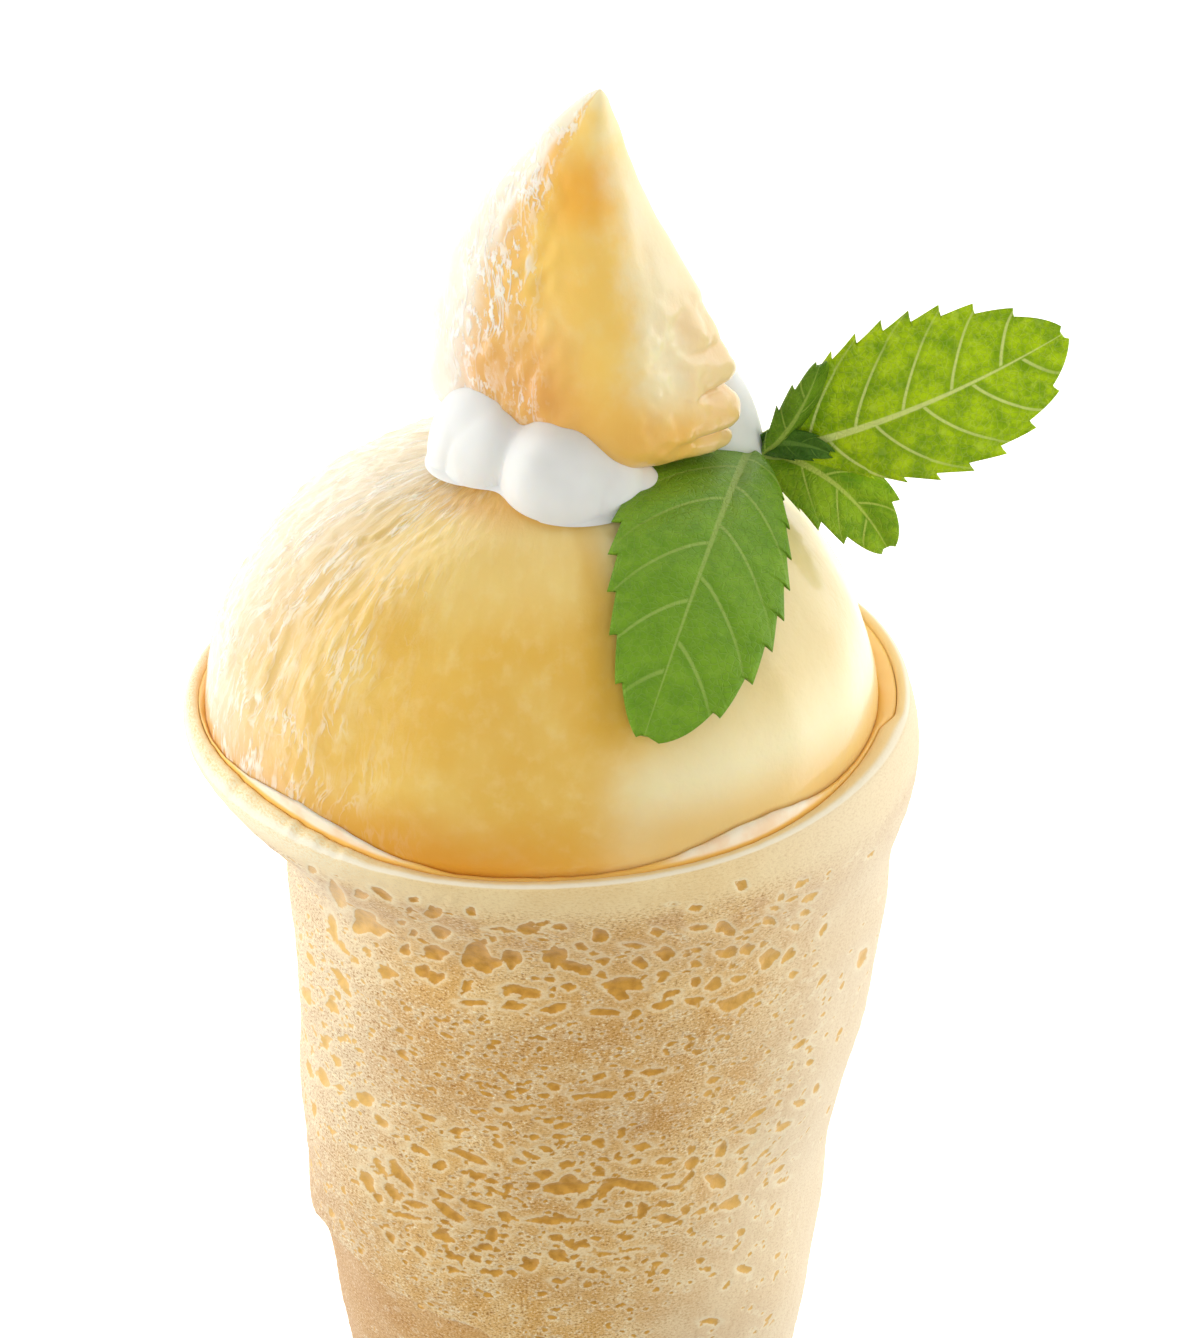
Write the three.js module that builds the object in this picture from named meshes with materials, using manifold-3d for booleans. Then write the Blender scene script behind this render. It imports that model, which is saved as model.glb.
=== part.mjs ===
// Crepe cone with a whole peeled peach, whipped cream, a peach slice and a sprig of mint.
// A cone that is eaten from the hand can't stand, so it lies on its side with its mouth raised.
// Everything is shaped in the cone's own frame (mm): the peach's centre is its origin, +Z runs up the
// cone's axis towards the mouth, -Y is the side that faces up once the cone lies down.
import * as THREE from 'three';
import { mergeVertices } from 'three/addons/utils/BufferGeometryUtils.js';
import Module from 'manifold-3d';

// ---- driving dimensions, mm and degrees ----
const LEAN = 10; // rise of the cone's axis above the table, degrees
const CENTRE_HEIGHT = 42; // of the peach's centre above the table
const BELLY_BEHIND_PEACH = 68; // from the peach's centre back to the flat belly's middle, along the table
const BELLY_SHIFT = 3; // sideways, from the peach's centre to the belly's middle
const GAP = 0.3; // clearance between two pieces that touch

const SHEET = 1.7; // one layer of crepe
const LIP_HEIGHT = -0.45; // mean height of the crepe's lip
const LIP_RISE = 1.2; // the lip stands this much higher where it is highest, lower across from there
const LIP_HIGHEST = 40; // direction of that place, degrees
const LIP_TIGHTER = 0.9; // the mouth is drawn in this much in front and let out at the back
const CURL = { middle: 208, spread: 52, rise: 2, wall: 0.9 }; // where the lip turns out and down
const LAP_STEP = 1.3; // extra wall where the crepe's inner end laps over itself at the mouth
const LAP_ANGLE = -8; // where that end starts, degrees
const LAP_SPREAD = 50; // and how far round it thins out
const WRAP_STEP = 1.3; // the outer turn's border stands this far off the turn below it
const BORDER_DROP = 0.6; // the step between the two turns is this high
const WRAP_CROWDING = 1.35; // above 1 the outer turn's rows lie closer together towards the lip
const CONE_CROWDING = 1.5; // and those below it towards the folded end
const WRAP_BORDER = { middle: -84, sway: 16, highest: 209 }; // its slanted loop: height, sway, degrees
const TIP = 191.5; // depth of the folded end below the peach's centre
const TIP_ROUND = 13; // length of its rounding
const POCKET_DEPTH = 168; // depth of the room inside the crepe
const END_PLAY = 1; // steps in which the pocket and the filling end above that depth
const LIP_ROUNDING = 0.6; // height over which the lip's two edges round over
const COLUMNS = 48; // facets round the crepe, the filling and the peach
const INSIDE_RINGS = 13; // rings down the crepe's inside and the filling's side
const RING_CROWDING = 1.6; // above 1 the rings lie closer together towards the mouth
// Sections of the crepe: depth below the peach's centre, outer radius, sideways shift.
const SECTIONS = [
  [-4, 42.6, 0.3],
  [0, 42.8, 0.4],
  [3, 42.7, 1.3],
  [6.5, 41.6, 2.7],
  [10, 39.8, 4.1],
  [13, 38.1, 5.0],
  [16.5, 36.6, 5.4],
  [20, 36.0, 5.4],
  [24, 35.9, 5.3],
  [32, 35.0, 4.8],
  [41, 34.2, 4.4],
  [50, 33.2, 3.1],
  [60, 32.4, 2.5],
  [75, 31.2, 3.0],
  [91, 28.8, 3.0],
  [110, 25.4, 3.0],
  [130, 21.2, 3.0],
  [150, 16.5, 3.0],
  [170, 11.4, 3.0],
  [192, 5.6, 3.0],
];

const PEACH_RADIUS = 39.3;
const PEACH_TOP = 32.8; // half height above its widest ring
const PEACH_BASE = 16.5; // and below it, inside the crepe

const CREAM_CENTRE_X = 5; // the dollop is laid out round this place in plan, beside the peach's top
const CREAM_ROUNDING = 0.9; // height of the soft skin that rounds the lobes' edges
// Lobes of the dollop: place of the middle in plan, radius, height over the peach.
const CREAM_LOBES = [
  [-7.2, -1.4, 5.6, 7.8], // left of the slice
  [-5.2, -4.6, 5.4, 6.4],
  [2.4, -9.4, 6.7, 6.6], // in front of it
  [7, -9.6, 4.8, 4.4],
  [10.6, -8.6, 3.6, 2.2],
  [19.6, 8, 6.6, 12], // right of it, round the stem
  [6, 10, 9, 6],
  [-3, 7, 6.5, 5],
  [6, 0, 8, 5], // under it
];
const CREAM_OUTLINE_CRISPNESS = 10; // higher keeps the notches between lobes sharper in plan
const CREAM_CREST_CRISPNESS = 6; // and the creases between their tops

const SLICE_TIP = { x: 6.8, y: -1.5, z: 75.4 };
const SLICE_BOTTOM = { y: -4.5, z: 33.4 };
const SLICE_LEFT = 18.6; // reach to the left of the tip, where the peeled outside bulges
const SLICE_RIGHT = 13.2; // reach to the right, where the cuts meet
const SLICE_BROADEST = 0.818; // share of the way from the tip to the bottom
const SLICE_SEAT = 0.9; // how far the round end follows the peach under it, 1 is all the way
const SLICE_END_FULLNESS = 2.6; // 2 rounds the end like an ellipse, higher makes it blunter
// Sides of the slice's section: direction of the outward normal in degrees, distance from the middle
// as a share of the half width. The first three are the peeled outside, then the two cuts with the
// worn edge between the outside and the first of them.
const SLICE_SIDES = [
  [190, 0.97],
  [233, 0.4],
  [252, 0.4],
  [288, 0.66],
  [325, 0.88],
  [80, 0.6],
];
const SLICE_CRISPNESS = 6;
const SLICE_FIT = 0.95; // makes the section as wide as its two reaches

const LEAF_THICKNESS = 0.6;
const LEAF_TOOTH = { rows: 3, notch: 0.86, depth: 0.2 }; // rows a tooth, share of the reach at its notch
const LEAF_NARROWEST = 0.45; // half width at both ends
const LEAF_CLEARANCE = 1; // from a leaf's middle to the peach under it
const STEM_RADIUS = 0.9;

// ---- helpers ----
const rad = THREE.MathUtils.degToRad;
const { lerp, clamp, smoothstep } = THREE.MathUtils;
const lean = rad(LEAN);

/**
 * A closed solid from a sheet of rows round an axis: the first and the last row are single points.
 * From turnRow on the sheet runs back down, so its facets are split the other way: they then lie
 * parallel to those of a piece inside it that is built upwards.
 */
function closedSheet(rows, columns, at, turnRow = rows) {
  const positions = [];
  const push = (point) => positions.push(point.x, point.y, point.z);
  push(at(0, 0));
  for (let row = 1; row < rows; row += 1) {
    for (let column = 0; column < columns; column += 1) push(at(row, (2 * Math.PI * column) / columns));
  }
  push(at(rows, 0));
  const last = positions.length / 3 - 1;
  const index = (row, column) => 1 + (row - 1) * columns + (column % columns);
  const faces = [];
  for (let column = 0; column < columns; column += 1) {
    faces.push(0, index(1, column + 1), index(1, column));
    faces.push(last, index(rows - 1, column), index(rows - 1, column + 1));
    for (let row = 1; row < rows - 1; row += 1) {
      const [a, b] = [index(row, column), index(row, column + 1)];
      const [c, d] = [index(row + 1, column + 1), index(row + 1, column)];
      if (row < turnRow) faces.push(a, b, c, a, c, d);
      else faces.push(a, b, d, b, c, d);
    }
  }
  const geometry = new THREE.BufferGeometry();
  geometry.setAttribute('position', new THREE.Float32BufferAttribute(positions, 3));
  geometry.setIndex(faces);
  return geometry;
}

const wasm = await Module();
wasm.setup();

/** A geometry as a solid that can be joined and cut. */
function toSolid(geometry) {
  const bare = geometry.clone();
  bare.deleteAttribute('normal');
  bare.deleteAttribute('uv');
  const merged = mergeVertices(bare, 1e-4);
  return new wasm.Manifold(
    new wasm.Mesh({
      numProp: 3,
      vertProperties: new Float32Array(merged.attributes.position.array),
      triVerts: new Uint32Array(merged.index.array),
    }),
  );
}

/** The joined or cut solid as a geometry again. */
function toGeometry(solid) {
  const mesh = solid.getMesh();
  const geometry = new THREE.BufferGeometry();
  geometry.setAttribute('position', new THREE.Float32BufferAttribute(mesh.vertProperties, 3));
  geometry.setIndex([...mesh.triVerts]);
  return geometry;
}

function piece(name, geometry, colour, roughness) {
  geometry.computeVertexNormals();
  const material = new THREE.MeshStandardMaterial({ color: colour, roughness, metalness: 0 });
  const mesh = new THREE.Mesh(geometry, material);
  mesh.name = name;
  return mesh;
}

/** Height of a point above the table. */
const heightOf = (point) => CENTRE_HEIGHT + point.z * Math.sin(lean) - point.y * Math.cos(lean);

/** Presses a point up so that it lies no lower than the given height above the table. */
function pressed(point, lowest) {
  const below = lowest - heightOf(point);
  if (below > 0) point.y -= below / Math.cos(lean);
  return point;
}

// ---- crepe: one thin pancake wound into a cone, its lip flared by the peach ----
const sectionTable = new THREE.CubicInterpolant(
  SECTIONS.map(([depth]) => depth),
  SECTIONS.flatMap(([, radius, shift]) => [radius, shift]),
  2,
);

/** Height of the lip's outer edge all the way round. */
const lipHeight = (angle) => LIP_HEIGHT + LIP_RISE * Math.cos(angle - rad(LIP_HIGHEST));

/** How far the lip is turned outwards and down like a bell, from 0 to 1. */
function lipCurl(angle) {
  const away = Math.acos(clamp(Math.cos(angle - rad(CURL.middle)), -1, 1));
  return 1 - smoothstep(away, 0, rad(CURL.spread));
}

/** Height of the lip's inner edge: above the outer one where the lip is turned out. */
const innerLipHeight = (angle) => lipHeight(angle) + CURL.rise * lipCurl(angle);

/** Height of the outer turn's lower border. */
const borderHeight = (angle) =>
  WRAP_BORDER.middle + WRAP_BORDER.sway * Math.cos(angle - rad(WRAP_BORDER.highest));

/** Wall thickness: one layer, and more at the mouth where the inner end laps or the lip turns out. */
function wall(angle, height) {
  const past = (rad(LAP_ANGLE) - angle + 4 * Math.PI) % (2 * Math.PI);
  const lap = smoothstep(past, 0, rad(6)) * (1 - smoothstep(past, rad(6), rad(LAP_SPREAD)));
  const curl = CURL.wall * lipCurl(angle) * smoothstep(height, -6, 0);
  return SHEET + LAP_STEP * lap * smoothstep(height, -14, -5) + curl;
}

/** A point of the crepe's wall, a given depth inside its outer face. */
function crepePoint(height, angle, inset) {
  const depth = clamp(-height, SECTIONS[0][0], TIP);
  const [radius, shift] = sectionTable.evaluate(depth);
  const folded = clamp((depth - (TIP - TIP_ROUND)) / TIP_ROUND, 0, 1);
  const slack = smoothstep(depth, 12, 40); // the mouth is stretched round the peach
  const uneven = 0.35 * Math.sin(3 * angle + depth / 19) + 0.2 * Math.sin(5 * angle - depth / 11);
  const drawn = LIP_TIGHTER * Math.sin(angle) * (1 - smoothstep(depth, 2, 24));
  const full = (radius + drawn + slack * uneven) * Math.sqrt(1 - folded * folded);
  const reach = Math.max(0, full - inset);
  const point = new THREE.Vector3(shift + reach * Math.cos(angle), reach * Math.sin(angle), height);
  return pressed(point, inset);
}

/** The middle of the crepe's section at a height. */
const axisPoint = (height) => new THREE.Vector3(sectionTable.evaluate(-height)[1], 0, height);

/** Height of a ring of the crepe's inside, counted from 0 at the lip. The filling has the same rings. */
const ringHeight = (ring, angle) =>
  lerp(
    innerLipHeight(angle) - LIP_ROUNDING,
    END_PLAY - POCKET_DEPTH,
    (ring / (INSIDE_RINGS - 1)) ** RING_CROWDING,
  );

/** The crepe from its folded end up the outside, over the lip and down the inside. */
function crepeGeometry() {
  const coneRows = 11;
  const wrapRows = 15;
  const lipRows = 2;
  const wrapStart = coneRows + 1;
  const lipStart = wrapStart + wrapRows;
  const insideStart = lipStart + lipRows;
  const at = (row, angle) => {
    const lip = lipHeight(angle);
    const border = borderHeight(angle);
    if (row < wrapStart) {
      const up = row / coneRows;
      const height = lerp(-TIP, border - BORDER_DROP, up ** CONE_CROWDING);
      const point = crepePoint(height, angle, 0);
      const narrower = row > 0 ? WRAP_STEP * smoothstep(up, 0, 0.4) : 0;
      point.x -= narrower * Math.cos(angle);
      point.y -= narrower * Math.sin(angle);
      return pressed(point, 0);
    }
    if (row < lipStart) {
      const down = ((lipStart - 1 - row) / (wrapRows - 1)) ** WRAP_CROWDING;
      return crepePoint(lerp(lip - LIP_ROUNDING, border, down), angle, 0);
    }
    if (row < insideStart) {
      const inner = innerLipHeight(angle);
      if (row === lipStart) return crepePoint(lip, angle, wall(angle, inner) * 0.3);
      return crepePoint(inner, angle, wall(angle, inner) * 0.72);
    }
    const ring = row - insideStart;
    if (ring === INSIDE_RINGS) return axisPoint(-POCKET_DEPTH);
    const height = ringHeight(ring, angle);
    return crepePoint(height, angle, wall(angle, height));
  };
  return closedSheet(insideStart + INSIDE_RINGS, COLUMNS, at, insideStart);
}

// ---- peach: whole, peeled, seated in the crepe's mouth ----
/** Height of the peach's top above its widest ring, at a place in plan. */
const domeHeight = (x, y, grown = 0) =>
  (PEACH_TOP + grown) * Math.sqrt(Math.max(0, 1 - (x * x + y * y) / (PEACH_RADIUS + grown) ** 2));

/** A point of the peach, its latitude from -90 at the base to +90 on top, grown all round. */
function peachPoint(latitude, angle, grown) {
  const half = latitude > 0 ? PEACH_TOP : PEACH_BASE;
  const ring = (PEACH_RADIUS + grown) * Math.cos(latitude);
  const height = (half + grown) * Math.sin(latitude);
  return pressed(
    new THREE.Vector3(ring * Math.cos(angle), ring * Math.sin(angle), height),
    SHEET + GAP - grown,
  );
}

function peachGeometry() {
  const rows = 18;
  return closedSheet(rows, COLUMNS, (row, angle) => peachPoint(Math.PI * (row / rows - 0.5), angle, 0));
}

// ---- filling: cream that the peach sits in, down the inside of the crepe ----
function fillingGeometry() {
  const sideRows = INSIDE_RINGS;
  const cupRows = 8;
  return closedSheet(sideRows + cupRows, COLUMNS, (row, angle) => {
    if (row === 0) return axisPoint(2 * END_PLAY - POCKET_DEPTH);
    const ring = INSIDE_RINGS - row;
    if (ring > 0) {
      const height = ringHeight(ring, angle);
      return crepePoint(Math.max(height, 3 * END_PLAY - POCKET_DEPTH), angle, wall(angle, height) + GAP);
    }
    const brim = Math.asin(ringHeight(1, angle) / (PEACH_BASE + GAP));
    const latitude = ring === 0 ? brim : rad(-10 * (1 - ring));
    return pressed(peachPoint(latitude, angle, GAP), SHEET + GAP);
  });
}

// ---- peach slice: cut from a peeled peach, standing on its round end ----
/** Polar radius of the slice's section: a rounded polygon of six sides. */
function sliceSection(angle) {
  const sum = SLICE_SIDES.reduce((total, [normal, distance]) => {
    const facing = Math.max(0, Math.cos(angle - rad(normal)) / distance);
    return total + facing ** SLICE_CRISPNESS;
  }, 0);
  return sum ** (-1 / SLICE_CRISPNESS);
}

/** Reach to the left at a share of the way down: bulging at once. */
const sliceLeft = (down) =>
  SLICE_LEFT * Math.sin((Math.PI / 2) * Math.min(1, down / SLICE_BROADEST) ** 0.9);

/** Reach to the right: a straight slope that levels off above the round end. */
function sliceRight(down) {
  const share = (down / (SLICE_BROADEST - 0.04)) ** 1.46;
  return (SLICE_RIGHT * share) / (1 + share ** 5) ** (1 / 5);
}

/** The round end below the broadest place. */
const sliceEnd = (down) =>
  Math.sqrt(1 - clamp((down - SLICE_BROADEST) / (1 - SLICE_BROADEST), 0, 1) ** SLICE_END_FULLNESS);

function slicePoint(down, angle, grown) {
  const [left, right] = [sliceLeft(down), sliceRight(down)];
  // the torn edge beside the stone's hollow: lumps with notches between them
  const beside = Math.max(0, Math.cos(angle - rad(5))) ** 6;
  const lumps = Math.cos((2 * Math.PI * (down - 0.832)) / 0.093);
  const torn = 0.05 * beside * lumps * smoothstep(down, 0.68, 0.8);
  const pole = down <= 0 || down >= 1;
  const full = ((left + right) / 2) * sliceEnd(down) * sliceSection(angle) * SLICE_FIT * (1 + torn);
  const reach = pole ? 0 : full + grown;
  const past = pole ? grown * (down <= 0 ? 1 : -1) : 0;
  const x = SLICE_TIP.x + (right - left) / 2 + reach * Math.cos(angle);
  const y = lerp(SLICE_TIP.y, SLICE_BOTTOM.y, down) + reach * Math.sin(angle);
  const seated = SLICE_SEAT * smoothstep(down, 0.5, 1) * (PEACH_TOP - domeHeight(x, y));
  return new THREE.Vector3(x, y, lerp(SLICE_TIP.z, SLICE_BOTTOM.z, down) - seated + past);
}

function sliceGeometry(grown) {
  const rows = 18;
  return closedSheet(rows, 28, (row, angle) => {
    const down = row / rows;
    return slicePoint(1 - (down < 0.5 ? down * down * 2 : down), angle, grown);
  });
}

// ---- whipped cream: a lobed dollop on the peach, pressed out by the slice ----
/** Outline of the dollop in plan: how far a ray from its centre runs inside the lobes' circles. */
function creamReach(angle) {
  const sum = CREAM_LOBES.reduce((total, [x, y, radius]) => {
    const aside = x - CREAM_CENTRE_X;
    const ahead = aside * Math.cos(angle) + y * Math.sin(angle);
    const inside = radius ** 2 - aside ** 2 - y ** 2 + ahead ** 2;
    const reach = inside > 0 ? Math.max(0, ahead + Math.sqrt(inside)) : 0;
    return total + reach ** CREAM_OUTLINE_CRISPNESS;
  }, 0);
  return sum ** (1 / CREAM_OUTLINE_CRISPNESS);
}

/** Height of the dollop over the peach: every lobe is half of a flattened ball. */
function creamLift(x, y) {
  const sum = CREAM_LOBES.reduce((total, [lobeX, lobeY, radius, height]) => {
    const off = ((x - lobeX) ** 2 + (y - lobeY) ** 2) / radius ** 2;
    return total + (height * Math.sqrt(Math.max(0, 1 - off))) ** CREAM_CREST_CRISPNESS;
  }, 0);
  return sum ** (1 / CREAM_CREST_CRISPNESS);
}

/** A point of the dollop at a share of the way out to its outline, on its underside or on top. */
function creamPoint(share, angle, onTop) {
  const reach = creamReach(angle) * share;
  const x = CREAM_CENTRE_X + reach * Math.cos(angle);
  const y = reach * Math.sin(angle);
  const lift = onTop ? creamLift(x, y) + CREAM_ROUNDING * Math.sqrt(Math.max(0, 1 - share * share)) : 0;
  return new THREE.Vector3(x, y, domeHeight(x, y, GAP) + lift);
}

function creamGeometry() {
  const underRows = 4;
  const overRows = 12;
  const columns = 54;
  return closedSheet(underRows + overRows, columns, (row, angle) => {
    if (row <= underRows) return creamPoint((0.9 * row) / underRows, angle, false);
    const over = ((row - underRows) / overRows) * (Math.PI / 2);
    return creamPoint(Math.sqrt(Math.max(0, Math.cos(over))), angle, true);
  });
}

// ---- mint: a stem end with serrated leaves ----
const MINT_NODE = new THREE.Vector3(24.2, 7, 28.2);

/** Reach of one side of a leaf from its midrib. Low exponents give a blunt base or a blunt tip. */
function leafReach(along, [broad, atBase, atTip]) {
  const broadest = atBase / (atBase + atTip);
  return broad * (along / broadest) ** atBase * ((1 - along) / (1 - broadest)) ** atTip;
}

/** Moves a point out to the given clearance over the peach, as a leaf that lies on it. */
function clearOfPeach(point, clearance) {
  const ring = PEACH_RADIUS + clearance;
  const share = Math.hypot(point.x / ring, point.y / ring, point.z / (PEACH_TOP + clearance));
  return share < 1 ? point.divideScalar(share) : point;
}

/** A thin wavy leaf along a bent midrib, grown all round. Both faces are split into triangles alike. */
function leafGeometry({ base, bend, tip, across, sides, cup, teeth, wave }, grown) {
  const midrib = new THREE.QuadraticBezierCurve3(base, bend, tip);
  const lengthRows = teeth * LEAF_TOOTH.rows;
  const widthRows = 4;
  const grid = [];
  for (let i = 0; i <= lengthRows; i += 1) {
    const along = i / lengthRows;
    const centre = midrib.getPoint(along);
    const forward = midrib.getTangent(along);
    const normal = new THREE.Vector3().crossVectors(forward, across).normalize();
    const side = new THREE.Vector3().crossVectors(normal, forward).normalize();
    const sawn = i < lengthRows ? (i % LEAF_TOOTH.rows) / (LEAF_TOOTH.rows - 1) : 0;
    const tooth = LEAF_TOOTH.notch + LEAF_TOOTH.depth * sawn;
    const reaches = sides.map((shape) => Math.max(LEAF_NARROWEST, leafReach(along, shape) * tooth) + grown);
    for (let j = 0; j <= widthRows; j += 1) {
      const share = (2 * j) / widthRows - 1;
      const reach = Math.abs(share) * reaches[share < 0 ? 0 : 1];
      const lift = (cup * reach * reach) / sides[0][0] ** 2 + wave * share * Math.sin(along * 9);
      const out = side.clone().multiplyScalar(Math.sign(share) * reach);
      const point = centre.clone().add(out).addScaledVector(normal, lift);
      grid.push({ point: clearOfPeach(point, LEAF_CLEARANCE), normal });
    }
  }
  const positions = [];
  for (const face of [1, -1]) {
    for (const { point, normal } of grid) {
      const corner = point.clone().addScaledVector(normal, face * (LEAF_THICKNESS / 2 + grown));
      positions.push(corner.x, corner.y, corner.z);
    }
  }
  const stride = widthRows + 1;
  const under = grid.length;
  const faces = [];
  for (let i = 0; i < lengthRows; i += 1) {
    for (let j = 0; j < widthRows; j += 1) {
      const a = i * stride + j;
      const b = a + 1;
      const c = b + stride;
      const d = a + stride;
      faces.push(a, c, b, a, d, c, under + a, under + b, under + c, under + a, under + c, under + d);
    }
  }
  const rim = [];
  for (let j = 0; j < widthRows; j += 1) rim.push(j);
  for (let i = 0; i < lengthRows; i += 1) rim.push(i * stride + widthRows);
  for (let j = widthRows; j > 0; j -= 1) rim.push(lengthRows * stride + j);
  for (let i = lengthRows; i > 0; i -= 1) rim.push(i * stride);
  rim.forEach((here, k) => {
    const next = rim[(k + 1) % rim.length];
    faces.push(here, next, under + next, here, under + next, under + here);
  });
  const geometry = new THREE.BufferGeometry();
  geometry.setAttribute('position', new THREE.Float32BufferAttribute(positions, 3));
  geometry.setIndex(faces);
  return geometry;
}

const vector = (x, y, z) => new THREE.Vector3(x, y, z);
// Each leaf: its bent midrib, the direction across it, and for each side of the midrib the greatest
// reach and the bluntness of its base and tip.
const LEAVES = [
  // the broad leaf that hangs in front of the peach
  {
    base: MINT_NODE.clone(),
    bend: vector(21, -17, 36),
    tip: vector(11.6, -36.7, 15),
    across: vector(0.94, -0.12, -0.26),
    sides: [
      [11.4, 0.4, 0.66],
      [10.1, 1.1, 0.56],
    ],
    cup: -1.4,
    teeth: 9,
    wave: 0.5,
  },
  // the broad leaf that reaches out to the right
  {
    base: vector(26.6, 6.2, 28),
    bend: vector(42, 1, 34),
    tip: vector(58.4, 0, 45.6),
    across: vector(-0.33, 0.45, 0.82),
    sides: [
      [8.8, 1.2, 0.65],
      [10.2, 0.7, 0.6],
    ],
    cup: 1.2,
    teeth: 9,
    wave: 0.5,
  },
  // the small leaf below it
  {
    base: MINT_NODE.clone(),
    bend: vector(34.5, 3, 28),
    tip: vector(39.9, 2, 17.8),
    across: vector(0.6, 0.35, 0.7),
    sides: [
      [5.2, 0.5, 0.6],
      [5.2, 0.5, 0.6],
    ],
    cup: 0.7,
    teeth: 5,
    wave: 0.3,
  },
  // the young leaf folded up beside the stem
  {
    base: MINT_NODE.clone(),
    bend: vector(29, 4, 31),
    tip: vector(33, 3, 29.4),
    across: vector(0, 0.3, 0.95),
    sides: [
      [1.8, 0.5, 0.6],
      [1.8, 0.5, 0.6],
    ],
    cup: 0.5,
    teeth: 3,
    wave: 0.2,
  },
  // the folded leaf that stands up at the foot of the right one
  {
    base: vector(25.4, 6.2, 28),
    bend: vector(29, 3.5, 32),
    tip: vector(31.4, 3.2, 40.4),
    across: vector(0.9, 0.3, -0.3),
    sides: [
      [1.9, 0.6, 0.6],
      [3.6, 0.6, 0.5],
    ],
    cup: 0.8,
    teeth: 3,
    wave: 0.2,
  },
];

function stemGeometry(grown) {
  const route = new THREE.CatmullRomCurve3([
    vector(15.5, 9, 33.2),
    vector(20.5, 8.4, 31.2),
    MINT_NODE.clone(),
    vector(27.8, 6.2, 27.4),
  ]);
  const section = new THREE.Shape().absarc(0, 0, STEM_RADIUS + grown, 0, 2 * Math.PI);
  return new THREE.ExtrudeGeometry(section, { steps: 10, curveSegments: 5, extrudePath: route });
}

function mintGeometry() {
  const sprig = LEAVES.reduce(
    (whole, leaf) => whole.add(toSolid(leafGeometry(leaf, 0))),
    toSolid(stemGeometry(0)),
  );
  return toGeometry(sprig);
}

/** The dollop with room for the slice, the stem and the leaves. Loose scraps are dropped. */
function cutCreamGeometry() {
  const tools = [sliceGeometry(GAP), stemGeometry(GAP), ...LEAVES.map((leaf) => leafGeometry(leaf, GAP))];
  const cut = tools.reduce((rest, tool) => rest.subtract(toSolid(tool)), toSolid(creamGeometry()));
  const [largest] = cut.decompose().sort((a, b) => b.volume() - a.volume());
  return toGeometry(largest);
}

// ---- the whole, laid on its side ----
const cone = new THREE.Group();
cone.rotation.x = lean - Math.PI / 2;
cone.position.set(-BELLY_SHIFT, BELLY_BEHIND_PEACH, CENTRE_HEIGHT);
cone.add(
  piece('crepe', crepeGeometry(), 0xdcc08c, 0.75),
  piece('filling', fillingGeometry(), 0xf3e6cf, 0.5),
  piece('peach', peachGeometry(), 0xecc568, 0.3),
  piece('peach_slice', sliceGeometry(0), 0xf0c068, 0.3),
  piece('whipped_cream', cutCreamGeometry(), 0xf7f5ef, 0.45),
  piece('mint_sprig', mintGeometry(), 0x7fa83a, 0.5),
);

const part = new THREE.Group();
part.add(cone);
export default part;
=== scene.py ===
import bpy
import numpy as np
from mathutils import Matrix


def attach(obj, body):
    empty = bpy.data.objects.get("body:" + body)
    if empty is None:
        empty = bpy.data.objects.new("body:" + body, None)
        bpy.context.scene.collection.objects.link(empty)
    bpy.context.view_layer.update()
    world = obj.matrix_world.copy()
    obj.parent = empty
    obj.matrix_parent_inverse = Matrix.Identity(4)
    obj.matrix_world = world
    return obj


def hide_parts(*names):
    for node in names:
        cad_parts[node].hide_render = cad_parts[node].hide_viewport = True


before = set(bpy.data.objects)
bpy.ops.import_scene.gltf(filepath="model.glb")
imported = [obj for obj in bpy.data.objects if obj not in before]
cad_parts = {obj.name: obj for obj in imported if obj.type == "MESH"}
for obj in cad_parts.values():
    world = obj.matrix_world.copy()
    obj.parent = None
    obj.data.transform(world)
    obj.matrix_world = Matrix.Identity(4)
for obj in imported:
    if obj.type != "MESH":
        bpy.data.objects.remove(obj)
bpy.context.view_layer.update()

# ---- the outer turn of the crepe ----
# A thin pancake from a hot plate, wound round the filling: a pale lacy web with golden-brown pits.
# Its upper edge is the lip, flared by the peach; its lower border runs slantwise round the cone.
# in mm and radians: how far the axis rises, where the peach's centre comes to lie, the pancake's thickness,
# the depths of mouth and folded end, the lip, where the lip is curled out, the border and the lap
LEAN = np.radians(10)
PEACH_PLACE = (-3, 68, 42)
SHEET = 1.7
MOUTH_DEPTH, TIP, FOLD_LENGTH = -4, 191.5, 13
LIP_LEVEL, LIP_TILT, LIP_HIGHEST = -0.45, 1.2, np.radians(40)
CURL_MIDDLE, CURL_REACH, CURL_RISE, CURL_THICKER = np.radians(208), np.radians(52), 2, 0.9
BORDER_MIDDLE, BORDER_SWAY, BORDER_HIGHEST = -84, 16, np.radians(209)
LAP_START, LAP_FULL, LAP_END, LAP_THICKER = np.radians(-8), np.radians(6), np.radians(50), 1.3
# depth below the peach's centre, outer radius, sideways shift
SECTIONS = np.array([
    (-4, 42.6, 0.3), (0, 42.8, 0.4), (3, 42.7, 1.3), (6.5, 41.6, 2.7), (10, 39.8, 4.1), (13, 38.1, 5.0),
    (16.5, 36.6, 5.4), (20, 36.0, 5.4), (24, 35.9, 5.3), (32, 35.0, 4.8), (41, 34.2, 4.4), (50, 33.2, 3.1),
    (60, 32.4, 2.5), (75, 31.2, 3.0), (91, 28.8, 3.0), (110, 25.4, 3.0), (130, 21.2, 3.0),
    (150, 16.5, 3.0), (170, 11.4, 3.0), (192, 5.6, 3.0)])


def ease(value, start, end):
    """0 before start, 1 after end, and 3s^2 - 2s^3 of the share between them."""
    share = np.clip((value - start) / (end - start), 0, 1)
    return share * share * (3 - 2 * share)


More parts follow.
